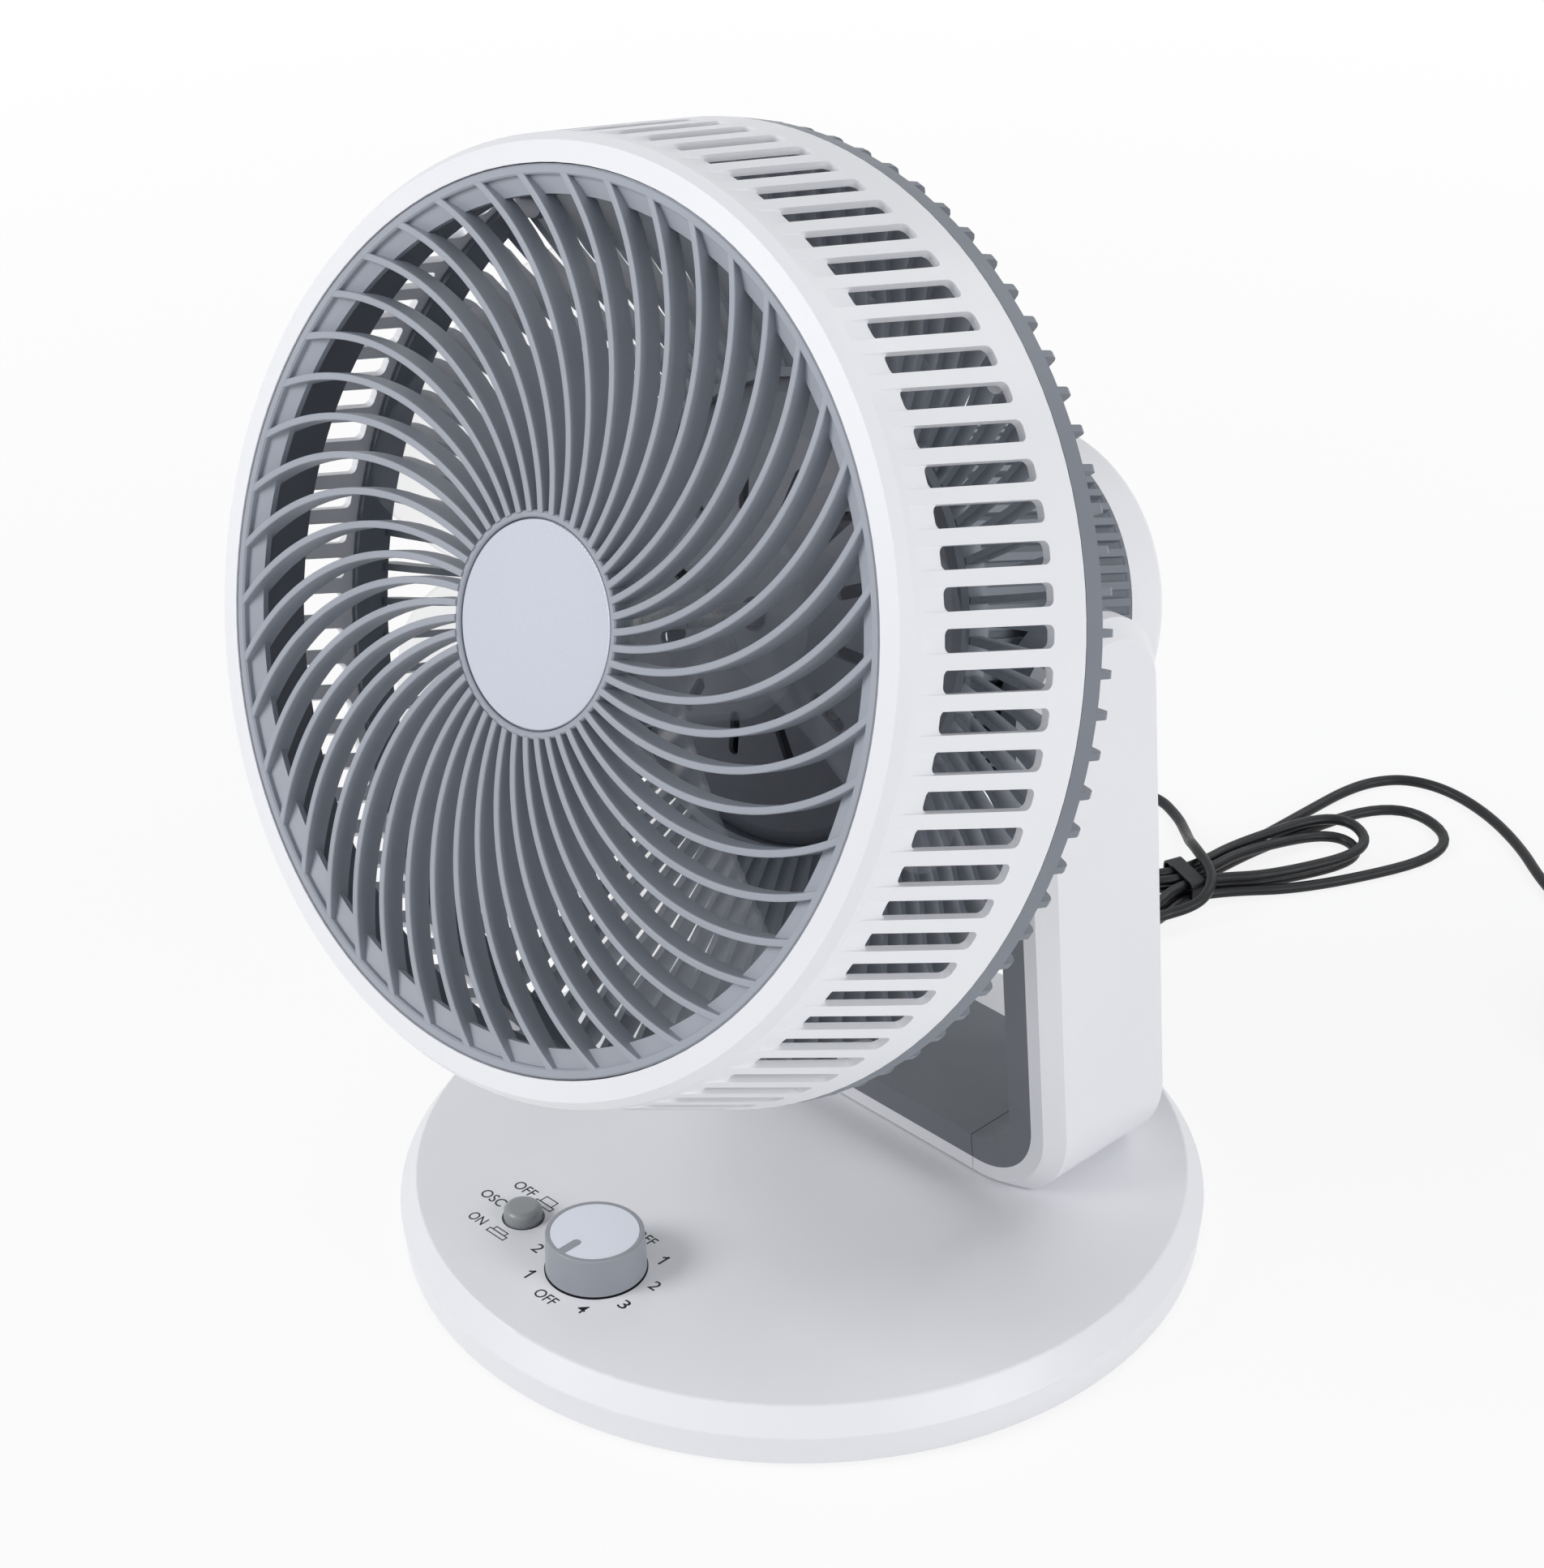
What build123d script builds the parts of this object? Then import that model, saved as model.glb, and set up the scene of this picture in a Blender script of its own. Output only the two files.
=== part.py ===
from build123d import *
import os
from math import acos, atan2, cos, degrees, hypot, pi, radians, sin, sqrt, tan

# Table-top air circulator: a slotted round head tilts in a U-shaped yoke that swings on a disc base.
# Millimetres, +Z up. The origin is the centre of the base's underside, on the table.
# The fan blows towards -Y, and +X is on the right of a person who faces it.

# Fits and walls shared by many pieces
wall = 2.5
press_gap = 0.02
running_fit = 0.05
loose_fit = 0.3
screw_radius = 1.5
screw_head_radius = 3.0
screw_head_height = 1.8
screw_tip_room = 3.0

# Base
base_foot_radius = 150.0
base_foot_height = 2.0
base_shoulder_radius = 151.2
base_shoulder_height = 14.1
base_top_radius = 144.8
base_top_height = 23.7
base_edge_round = 1.0
plate_height = 1.2
plate_screw_recess = 1.2
foot_ring_outer_radius = 143.0
foot_ring_inner_radius = 134.0
foot_ring_groove = 1.0
weight_radius = 45.0
weight_thickness = 7.0
weight_y = -25.0
base_screw_circle = 122.0
base_screw_count = 5
base_boss_radius = 4.5
base_screw_depth = 12.0
terminal_length = 28.0
terminal_width = 16.0
terminal_height = 11.0
terminal_x = -80.0
terminal_y = 78.0
terminal_pitch = 9.0
terminal_well_radius = 2.4
capacitor_length = 38.0
capacitor_width = 18.0
capacitor_height = 13.0
capacitor_x = 78.0
capacitor_y = 62.0

# Speed knob
knob_x = -5.0
knob_y = -100.0
knob_foot_radius = 18.5
knob_top_radius = 18.0
knob_top_height = 40.0
knob_gap = 0.7
knob_insert_radius = 16.2
knob_insert_thickness = 1.4
knob_edge = 0.6
knob_insert_gap = 0.1
knob_roof = 2.2
knob_bush_depth = 1.2
knob_shaft_cover = 3.0
pointer_root = 0.5
pointer_gap = 0.3
face_recess = 0.1
pointer_width = 3.2
pointer_length = 7.5
switch_shaft_radius = 3.0
speed_switch_side = 28.0
speed_switch_depth = 12.0
switch_bush_radius = 4.2

# Swing button
button_x = -46.0
button_y = -99.0
button_radius = 7.2
button_rise = 5.5
button_travel = 3.0
button_dome = 2.6
button_collar_thickness = 1.4
button_stem_radius = 2.5
button_collar_width = 2.0
button_collar_gap = 0.1
swing_switch_side = 12.0
swing_switch_height = 7.3
stem_engagement = 1.2
button_overtravel = 1.6

# Turntable and swing drive
swing_y = 71.0
yoke_lift = 0.6
spindle_radius = 11.0
spindle_bore_radius = 7.0
spindle_flange_radius = 24.0
spindle_flange_thickness = 3.0
spindle_bottom = 9.5
turntable_radius = 30.0
turntable_inner_radius = 13.0
turntable_pocket = 1.5
turntable_boss_depth = 3.0
turntable_web = 1.0
gear_module = 1.0
gear_teeth = 54
pinion_teeth = 18
gear_thickness = 4.0
gear_running_gap = 0.4
pressure_angle = 20.0
tooth_backlash = 0.16
pinion_bearing = 213.6
clip_radius = 14.0
clip_thickness = 1.6
swing_motor_radius = 17.5
swing_motor_height = 8.8
motor_pin_radius = 2.0

# Yoke
pivot_y = 55.0
pivot_height = 233.2
yoke_lean = 4.4
arm_outer = 95.0
arm_bevel = 6.0
arm_flat = 6.0
liner_band = 10.7
liner_recess = 4.1
arm_half_depth = 32.5
corner_centre = 55.0
arm_wall = 2.6
seam_x = 52.3
seam_width = 0.3
pin_radius = 5.0
pin_head_radius = 9.0
pin_head_thickness = 3.0
pivot_washer_radius = 15.0
pivot_washer_thickness = 1.5
floor_screw_circle = 17.5

# Head: distances are measured along the fan's axis from the front ring's plane, backwards negative
tilt_at_rest = 19.7
ring_reach = 185.6
pivot_drop = 4.3
hoop_inner_radius = 148.6
hoop_front_radius = 158.5
hoop_rear_radius = 167.2
hoop_wall = 2.8
hoop_wall_thinning = 0.5
hoop_face = 1.0
hoop_rear = -75.3
slot_count = 80
slot_width = 7.4
slot_front = -17.0
slot_rear = -61.5
slot_corner = 2.4
slot_lead_in = -6.0
slot_groove_overlap = 6.0
slot_cut_depth = 24.0
slot_cut_offset = 4.0
hoop_shoulder = -3.4
hoop_face_width = 7.2
hoop_face_drop = 0.8
hoop_bezel_width = 2.4
hoop_web_width = 5.5
duct_seat_depth = 2.0
screw_bore_gap = 0.1
rim_screw_reach = 7.0
rim_bore_spare = 2.0
grille_lip_outer = 148.2
grille_lip_inner = 144.8
grille_lip_top = 0.9
grille_lip_edge = 0.6
grille_flange_inner = 138.7
grille_flange_top = -3.0
grille_flange_outer_top = -1.2
grille_flange_thickness = 2.2
grille_back = -7.0
rib_count = 46
rib_width = 2.5
rib_top = 1.9
rib_edge = 0.5
lip_overlap = 0.5
rib_middle_top = 2.2
rib_end_top = 0.8
rib_inner_radius = 36.0
rib_middle_radius = 92.0
rib_outer_radius = 146.5
rib_middle_sweep = 13.7
rib_outer_sweep = 32.28
hub_ring_outer = 37.3
hub_ring_inner = 35.0
hub_ring_top = 1.3
hub_ring_edge = 0.5
badge_radius = 34.4
badge_top = 0.7
badge_thickness = 1.8
badge_backing = 2.0
badge_edge = 0.5
rib_first_angle = 0.5
duct_inner_radius = 145.0
duct_outer_radius = 147.2
duct_rear = -27.0
fin_count = 80
fin_thickness = 2.5
fin_front = -79.0
fin_corner_radius = 141.0
fin_corner_front = -88.0
fin_knee_radius = 120.0
fin_knee_front = -101.5
fin_knee_rear = -110.0
rim_front = -75.6
rim_rear = -83.5
rim_inner_radius = 163.5
spigot_front = -66.0
spigot_wall = 2.0
spigot_gap = 0.5
rim_link_depth = 2.5
fin_tail = -92.7
fin_tail_radius = 158.0
fin_tooth_rear = -91.2
fin_tooth_side = -88.2
fin_tooth_round = 2.4
fin_hold = 0.4
fin_inset = 0.2
fin_collar_overlap = 1.0
fin_collar_drop = 2.0
rim_link_overlap = 1.0
rim_bore_room = 3.0
collar_inner_radius = 81.2
collar_outer_radius = 84.5
collar_front = -118.0
mount_plate_front = -125.5
mount_plate_rear = -128.0
mount_plate_inner_radius = 66.0
rim_screw_count = 4
rim_screw_circle = 160.2
rim_lug_radius = 4.0
rim_boss_radius = 3.8
rim_lug_thickness = 3.0
dish_edge_radius = 80.9
dish_edge = -123.0
dish_rings = [(76, -119.4), (62, -113.5), (49, -110), (39, -107.5), (24, -104.5)]
dish_top = -103.5
dish_shaft_gap = 2.0
dish_wall = 2.2
dish_vent_count = 12
dish_vent_inner = 36.0
dish_vent_outer = 52.0
dish_vent_width = 4.6

# Motor
drum_radius = 65.4
drum_rib_radius = 68.0
drum_rib_count = 72
drum_rib_width = 2.8
drum_rear = -229.0
boss_radius = 19.0
boss_root = 58.0
cover_radius = 67.0
cover_rear = -251.0
cover_edge = 7.0
cover_screw_circle = 59.0
cover_screw_count = 3
cover_post_radius = 4.5
cover_post_front = -205.0
cover_wall = 2.2
cover_screw_seat = 8.0
cover_screw_reach = 12.0
cover_bore_spare = 2.0
cover_head_gap = 0.3
cover_shank_gap = 0.2
motor_screw_circle = 38.0
motor_screw_count = 4
motor_screw_tip_short = 0.5
web_bore_gap = 2.0
drum_rib_root = 0.3
drum_rib_short = 4.0
stator_radius = 46.0
stator_bore = 26.5
stator_front = -150.0
stator_thickness = 22.0
stator_slot_count = 12
stator_slot_width = 5.0
stator_slot_depth = 11.0
stator_slot_middle = 7.0
winding_inset = 3.0
winding_rim = 4.0
winding_edge = 2.5
shaft_chamfer = 0.6
winding_height = 9.0
bell_wall = 2.5
bell_grip = 8.0
bush_stop = 2.0
bush_inset = 0.5
bell_front = -130.5
bell_rear = -192.0
bell_hub_radius = 12.0
bush_outer_radius = 8.0
bush_length = 10.0
shaft_radius = 4.0
shaft_front = -29.0
shaft_rear = -196.0
rotor_air_gap = 0.5

# Impeller
blade_count = 5
blade_tip_radius = 138.0
blade_root_radius = 35.0
blade_thickness = 2.0
blade_middle = -58.0
blade_span = 66.0
blade_rest_angle = 181.0
blade_corner = 24.0
blade_inner_station = 25.0
blade_outer_station = 145.0
blade_inner_slope = 0.75
blade_outer_slope = 0.155
blade_half_width = 86.0
blade_bend_radius = 94.0
blade_trailing_root = 6.0
blade_trailing_bend = 1.0
blade_trailing_tip = -4.0
blade_leading_bend = -58.0
blade_leading_root = -44.0
blade_trim = 6.0
fan_hub_radius = 36.0
fan_hub_front = -36.0
fan_hub_rear = -92.0
fan_boss_radius = 9.0
fan_boss_rear = -76.0
nut_width = 14.0
nut_thickness = 5.0

# Power cord
cord_radius = 2.3
cord_rest = 2.35
cord_pitch = 5.9
cord_layer = 5.4
tie_lift = 1.4
tie_layer = 5.0
tie_length = 7.0
tie_thickness = 1.0
hank_x = -36.8
hank_y = 265.6
hank_bearing = 71.0
hank_half_turns = 7
loose_half_turn = 5
waist_run = 9.0
waist_outer = 10.05
lobe_width = 12.5
lobe_shoulder = 0.42
shoulder_width = 0.8
loose_shoulder_width = 0.67
left_reach = 56.0
right_reach = 82.0
loose_reach = 118.0
loose_width = 20.5
gland_bearing = 115.0
gland_height = 10.5
gland_length = 24.5
gland_flange_radius = 6.3
gland_flange_thickness = 1.8
gland_flange_gap = 4.0
gland_root_radius = 4.6
gland_tip_radius = 3.2
plug_length = 36.0
plug_width = 24.0
plug_height = 17.0
plug_neck = 14.0
plug_neck_radius = 3.4
plug_neck_flare = 2.0
plug_side_round = 5.5
plug_back_round = 4.0
pin_blade_length = 16.0
pin_blade_width = 6.3
pin_blade_thickness = 1.5
pin_blade_spacing = 12.7

# Values that follow from the sizes above
side_lean = atan2(base_shoulder_radius - base_foot_radius, base_shoulder_height - base_foot_height)
gland_wall_radius = base_foot_radius + (gland_height - base_foot_height) * tan(side_lean)
plate_top = plate_height + wall
yoke_floor = base_top_height + yoke_lift
arm_flat_outer = arm_outer - arm_bevel
arm_border = arm_flat_outer - arm_flat
arm_inner = arm_border - liner_band
corner_height = yoke_floor + arm_flat_outer - corner_centre
centre_distance = gear_module * (gear_teeth + pinion_teeth) / 2
swing_boss_bottom = base_top_height - turntable_pocket - turntable_web - turntable_boss_depth
gear_top = swing_boss_bottom - gear_running_gap
gear_bottom = gear_top - gear_thickness
pinion_x = centre_distance * cos(radians(pinion_bearing))
pinion_y = swing_y + centre_distance * sin(radians(pinion_bearing))
fin_pitch = 360 / fin_count

# The head is drawn about its own axis, +Z forwards, with its origin level with the tilt pivot
head_place = (
    Location((0, pivot_y, pivot_height))
    * Rot(90 - tilt_at_rest, 0, 0)
    * Pos(0, pivot_drop, 0)
)


def along(distance):
    # height in the head's drawing of a distance from the front ring's plane
    return ring_reach + distance


def turned(points):
    # solid of revolution about Z from corners given as radius and height
    return revolve(Plane.XZ * make_face(Polyline(*points, close=True)), Axis.Z)


def head_turned(points):
    # the same for corners given as radius and distance from the front ring's plane
    return turned([(radius, along(distance)) for radius, distance in points])


def rod(radius, bottom, top, x=0, y=0):
    return Pos(x, y, bottom) * Cylinder(
        radius, top - bottom, align=(Align.CENTER, Align.CENTER, Align.MIN)
    )


def tube(outer, inner, bottom, top, x=0, y=0):
    return rod(outer, bottom, top, x, y) - rod(inner, bottom - 1, top + 1, x, y)


def head_rod(radius, rear, front, x=0, y=0):
    return rod(radius, along(rear), along(front), x, y)


def head_tube(outer, inner, rear, front, x=0, y=0):
    return tube(outer, inner, along(rear), along(front), x, y)


def block(size_x, size_y, bottom, top, x=0, y=0):
    return Pos(x, y, bottom) * Box(
        size_x, size_y, top - bottom, align=(Align.CENTER, Align.CENTER, Align.MIN)
    )


def around(piece, count, first=0):
    # copies of a piece, evenly spaced about Z
    return [Rot(0, 0, first + 360 * index / count) * piece for index in range(count)]


def circle_places(radius, count, first=0):
    angles = [radians(first + 360 * index / count) for index in range(count)]
    return [(radius * cos(angle), radius * sin(angle)) for angle in angles]


def screw(x, y, seat, tip, pointing):
    # a pan-head screw along Z: pointing is 1 where it is driven upwards and -1 where it is driven down
    head_end = seat - pointing * screw_head_height
    head = rod(screw_head_radius, min(seat, head_end), max(seat, head_end), x, y)
    shank = rod(screw_radius, min(seat, tip), max(seat, tip), x, y)
    return head + shank


# Base

base_screw_places = circle_places(base_screw_circle, base_screw_count, 54)


def make_base_shell():
    inner_top = base_top_height - wall
    with BuildSketch(Plane.XZ) as outline:
        with BuildLine():
            outside = FilletPolyline(
                (base_foot_radius, base_foot_height),
                (base_shoulder_radius, base_shoulder_height),
                (base_top_radius, base_top_height),
                (0, base_top_height),
                radius=base_edge_round,
            )
            Polyline(
                outside @ 1,
                (0, inner_top),
                (base_top_radius - wall, inner_top),
                (base_shoulder_radius - wall, base_shoulder_height - wall),
                (base_foot_radius - wall, base_foot_height),
                outside @ 0,
            )
        make_face()
    shell = revolve(outline.sketch, Axis.Z)
    bosses = [rod(base_boss_radius, plate_top, inner_top + 1, x, y) for x, y in base_screw_places]
    swing_boss = rod(turntable_radius + wall, swing_boss_bottom, inner_top + 1, 0, swing_y)
    shell = shell + bosses + swing_boss
    pocket_floor = base_top_height - turntable_pocket
    shell -= rod(turntable_radius + loose_fit, pocket_floor, base_top_height + 1, 0, swing_y)
    shell -= rod(spindle_radius + running_fit, swing_boss_bottom - 1, base_top_height, 0, swing_y)
    shell -= rod(switch_bush_radius + loose_fit, inner_top - 1, base_top_height + 1, knob_x, knob_y)
    shell -= rod(button_radius + loose_fit, inner_top - 1, base_top_height + 1, button_x, button_y)
    screw_hole = screw_radius + loose_fit / 3
    hole_top = plate_top + base_screw_depth
    shell -= [rod(screw_hole, plate_top - 1, hole_top, x, y) for x, y in base_screw_places]
    return shell - gland_place * head_bore(gland_root_radius + loose_fit)


def head_bore(radius):
    # a long bore along local Z
    return Cylinder(radius, 60)


def make_base_plate():
    plate_radius = base_foot_radius - wall - loose_fit
    plate = rod(plate_radius, plate_height, plate_top)
    groove_top = plate_height + foot_ring_groove
    plate -= tube(
        foot_ring_outer_radius + loose_fit,
        foot_ring_inner_radius - loose_fit,
        plate_height - 1,
        groove_top,
    )
    hole = screw_radius + loose_fit
    recess = screw_head_radius + loose_fit
    recess_top = plate_height + plate_screw_recess
    plate -= [rod(hole, plate_height - 1, plate_top + 1, x, y) for x, y in base_screw_places]
    return plate - [rod(recess, plate_height - 1, recess_top, x, y) for x, y in base_screw_places]


def make_foot_ring():
    return tube(foot_ring_outer_radius, foot_ring_inner_radius, 0, plate_height + foot_ring_groove)


def make_base_screws():
    tip = plate_top + base_screw_depth - screw_tip_room
    seat = plate_height + plate_screw_recess
    return [screw(x, y, seat, tip, 1) for x, y in base_screw_places]


def make_counterweight():
    weight = rod(weight_radius, plate_top, plate_top + weight_thickness, 0, weight_y)
    return chamfer(weight.edges(), 0.8)


def make_speed_switch():
    top = base_top_height - wall
    body = block(speed_switch_side, speed_switch_side, top - speed_switch_depth, top, knob_x, knob_y)
    body = fillet(body.edges().filter_by(Axis.Z), 2.0)
    body += rod(switch_bush_radius, top, base_top_height + knob_gap, knob_x, knob_y)
    bore_bottom = top - speed_switch_depth + 2
    return body - rod(switch_shaft_radius + running_fit, bore_bottom, base_top_height + 2, knob_x, knob_y)


def make_swing_switch():
    top = plate_top + swing_switch_height
    body = block(swing_switch_side, swing_switch_side, plate_top, top, button_x, button_y)
    well_floor = top - stem_engagement - button_travel - button_overtravel
    return body - rod(button_stem_radius + loose_fit, well_floor, top + 1, button_x, button_y)


def make_swing_motor():
    top = plate_top + swing_motor_height
    body = rod(swing_motor_radius, plate_top, top, pinion_x, pinion_y)
    body = fillet(body.edges().group_by(Axis.Z)[-1], 1.0)
    return body - rod(motor_pin_radius + running_fit, plate_top + 2, top + 1, pinion_x, pinion_y)


def make_turntable_washer():
    bottom = base_top_height - turntable_pocket
    return tube(turntable_radius, turntable_inner_radius, bottom, yoke_floor, 0, swing_y)


def make_terminal_block():
    top = plate_top + terminal_height
    body = block(terminal_width, terminal_length, plate_top, top, terminal_x, terminal_y)
    for index in (-1, 0, 1):
        well_y = terminal_y + index * terminal_pitch
        body -= rod(terminal_well_radius, plate_top + terminal_height / 2, top + 1, terminal_x, well_y)
    return body


def make_run_capacitor():
    top = plate_top + capacitor_height
    body = block(capacitor_width, capacitor_length, plate_top, top, capacitor_x, capacitor_y)
    return fillet(body.edges().filter_by(Axis.Z), capacitor_width / 6)


# Knob and button

def make_switch_shaft():
    bottom = base_top_height - wall - speed_switch_depth + 2.5
    top = knob_top_height - knob_insert_thickness - knob_shaft_cover
    return rod(switch_shaft_radius, bottom, top, knob_x, knob_y)


def knob_pointer(width, height_bottom, height_top):
    # the bar runs from the knob's front edge towards its centre
    reach = knob_insert_radius + loose_fit
    bar_y = knob_y - reach + pointer_length / 2
    bar = block(width, pointer_length, height_bottom, height_top, knob_x, bar_y)
    nose = rod(width / 2, height_bottom, height_top, knob_x, bar_y + pointer_length / 2)
    return bar + nose


def make_speed_knob():
    foot = base_top_height + knob_gap
    seat = knob_top_height - knob_insert_thickness
    outer = [
        (0, foot),
        (knob_foot_radius, foot),
        (knob_top_radius, knob_top_height),
        (0, knob_top_height),
    ]
    knob = turned(outer)
    rim = knob.edges().filter_by(GeomType.CIRCLE).sort_by(Axis.Z)[-1]
    knob = fillet(rim, knob_edge)
    hollow = [
        (switch_shaft_radius + wall, foot - 1),
        (knob_foot_radius - wall, foot - 1),
        (knob_top_radius - wall, seat - knob_roof),
        (switch_shaft_radius + wall, seat - knob_roof),
    ]
    knob -= turned(hollow)
    knob -= rod(switch_bush_radius + loose_fit, foot - 1, foot + knob_bush_depth)
    knob -= rod(switch_shaft_radius + press_gap, foot - 1, seat - knob_shaft_cover)
    knob -= rod(knob_insert_radius + knob_insert_gap, seat, knob_top_height + 1)
    knob = Pos(knob_x, knob_y, 0) * knob
    return knob + knob_pointer(pointer_width, seat - pointer_root, knob_top_height - face_recess)


def make_knob_insert():
    seat = knob_top_height - knob_insert_thickness
    disc = rod(knob_insert_radius, seat, knob_top_height - face_recess, knob_x, knob_y)
    notch = knob_pointer(pointer_width + pointer_gap, seat - 1, knob_top_height + 1)
    return disc - notch


def make_swing_button():
    bottom = base_top_height - wall - button_collar_gap - button_collar_thickness
    top = base_top_height + button_rise
    cap = rod(button_radius, bottom, top)
    cap = fillet(cap.edges().group_by(Axis.Z)[-1], button_dome)
    collar = rod(button_radius + button_collar_width, bottom, bottom + button_collar_thickness)
    stem = rod(button_stem_radius, plate_top + swing_switch_height - stem_engagement, bottom + 1)
    cap = cap + collar + stem
    return Pos(button_x, button_y, 0) * cap


# Swing gears

def involute_gear(teeth, bore_radius, start_angle):
    # spur gear outline with involute flanks, from the base circle or root up to the tip
    pitch_radius = gear_module * teeth / 2
    base_radius = pitch_radius * cos(radians(pressure_angle))
    tip_radius = pitch_radius + gear_module
    root_radius = pitch_radius - 1.25 * gear_module
    roll = sqrt((pitch_radius / base_radius) ** 2 - 1)
    involute_at_pitch = roll - radians(pressure_angle)
    half_tooth = (pi / teeth - tooth_backlash / pitch_radius) / 2
    corners = []
    for index in range(teeth):
        middle = radians(start_angle) + 2 * pi * index / teeth
        flank = []
        for step in range(5):
            low = max(base_radius, root_radius)
            radius = low + (tip_radius - low) * step / 4
            roll_here = sqrt(max((radius / base_radius) ** 2 - 1, 0))
            involute = roll_here - acos(min(base_radius / radius, 1))
            flank.append((radius, half_tooth + involute_at_pitch - involute))
        root_angle = flank[0][1]
        rising = [(root_radius, root_angle)] if root_radius < flank[0][0] - 0.01 else []
        side = rising + flank
        corners += [(radius, middle - angle) for radius, angle in side]
        corners += [(radius, middle + angle) for radius, angle in reversed(side)]
    outline = Polyline(*[(radius * cos(angle), radius * sin(angle)) for radius, angle in corners], close=True)
    gear = extrude(make_face(outline), gear_thickness)
    return gear - Cylinder(bore_radius, 3 * gear_thickness)


def make_swing_gear():
    # a tooth of the gear points at the pinion
    gear = involute_gear(gear_teeth, spindle_radius + press_gap, pinion_bearing)
    return Pos(0, swing_y, gear_bottom) * gear


def make_swing_pinion():
    # a tooth space of the pinion points back at the gear
    facing = pinion_bearing + 180 + 180 / pinion_teeth
    gear = involute_gear(pinion_teeth, motor_pin_radius / 2, facing)
    pinion = Pos(pinion_x, pinion_y, gear_bottom) * gear
    return pinion + rod(motor_pin_radius, plate_top + 2.5, gear_top, pinion_x, pinion_y)


# Yoke

def yoke_outline(outer, corner_radius, bottom, top):
    # front view of a U's outside: two straight sides, round lower corners and a floor
    left_corner = (-corner_centre, corner_height)
    right_corner = (corner_centre, corner_height)
    with BuildSketch() as outline:
        with BuildLine():
            Line((-outer, top), (-outer, corner_height))
            CenterArc(left_corner, corner_radius, 180, 90)
            Line((-corner_centre, bottom), (corner_centre, bottom))
            CenterArc(right_corner, corner_radius, 270, 90)
            Polyline((outer, corner_height), (outer, top), (-outer, top))
        make_face()
    return outline.sketch


def yoke_block(outer, half_depth, lift=0):
    # the U's outside as a solid, leaning, with half-round tops about the tilt pivot
    radius = outer - corner_centre
    top = pivot_height + half_depth + 10
    front_view = yoke_outline(outer, radius, corner_height - radius, top)
    depth = 4 * arm_half_depth
    mass = Pos(0, swing_y + depth, 0) * extrude(Plane.XZ * front_view, 2 * depth)
    return mass & leaning_slot(half_depth, outer + 5, lift)


def leaning_slot(half_depth, half_width, lift=0):
    # side view of the arms: two leaning sides and a half-round top, made as wide as the yoke
    length = 2 * pivot_height
    with BuildSketch(Plane.YZ) as side_view:
        with Locations(Location((pivot_y, pivot_height), yoke_lean)):
            Circle(half_depth)
            with Locations((0, -length / 2)):
                Rectangle(2 * half_depth, length)
    slot = extrude(side_view.sketch, half_width, both=True)
    return slot & block(3 * half_width, 4 * length, lift, 2 * length)


def make_yoke_white():
    floor_line = yoke_floor
    outside = yoke_block(arm_outer, arm_half_depth, corner_height - (arm_outer - corner_centre) - 5)
    rim = outside.edges().filter_by(lambda edge: is_yoke_rim(edge))
    outside = chamfer(rim, arm_bevel - 0.01)
    outside &= block(4 * arm_outer, 4 * arm_outer, floor_line, 2 * pivot_height)
    border = yoke_block(arm_border, arm_half_depth + 10)
    return outside - border


def is_yoke_rim(edge):
    # the edges between the yoke's outside and its front, back and top
    middle = edge @ 0.5
    bottom = corner_height - (arm_outer - corner_centre)
    on_side = abs(abs(middle.X) - arm_outer) < 0.01
    on_floor = abs(middle.Z - bottom) < 0.01 and abs(middle.X) < corner_centre
    beyond = hypot(abs(middle.X) - corner_centre, middle.Z - corner_height)
    below = middle.Z < corner_height and abs(middle.X) > corner_centre
    on_corner = below and abs(beyond - (arm_outer - corner_centre)) < 0.05
    centre_line = swing_y_at(middle.Z)
    off_centre = abs(middle.Y - centre_line) > arm_half_depth - 2 or middle.Z > pivot_height
    return (on_side or on_floor or on_corner) and off_centre


def swing_y_at(height):
    # the arms' centre line leans forwards as it rises
    return pivot_y + (pivot_height - height) * tan(radians(yoke_lean))


def white_cavity():
    inside = yoke_block(arm_outer - arm_wall, arm_half_depth - arm_wall)
    edges = [edge for edge in inside.edges() if abs(abs((edge @ 0.5).X) - arm_outer + arm_wall) < 0.01]
    edges = [edge for edge in edges if (edge @ 0.5).Z > corner_height + 1]
    inside = chamfer(edges, arm_bevel - 1.2)
    keep = block(4 * arm_outer, 4 * arm_outer, yoke_floor + wall, 2 * pivot_height)
    # the lower corners follow the bevel's run-out, so the hollow keeps clear of it there
    return inside & keep


def make_liner_whole():
    band = yoke_block(arm_border, arm_half_depth) - yoke_block(arm_inner, arm_half_depth + 10)
    return band - liner_slope()


def liner_slope():
    # a plug whose sloping sides cut the liner's front face back towards the gap
    faces = []
    top = pivot_height + arm_half_depth + 30
    for depth in (-2.0, liner_recess):
        inset = liner_band * depth / liner_recess
        outer = arm_border - inset
        radius = outer - corner_centre
        outline = yoke_outline(outer, radius, corner_height - radius, top)
        faces.append(front_plane(depth) * Pos(0, -pivot_height, 0) * outline)
    plug = loft(faces, ruled=True)
    ahead = extrude(faces[0], 60)
    return plug + ahead


def front_plane(depth):
    # the leaning front plane of the yoke, at a depth behind it; local Y runs up the arm
    origin = (0, pivot_y, pivot_height)
    plane = Plane(origin=origin, x_dir=(1, 0, 0), z_dir=(0, -1, 0)).rotated((-yoke_lean, 0, 0))
    return plane.offset(arm_half_depth - depth)


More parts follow.
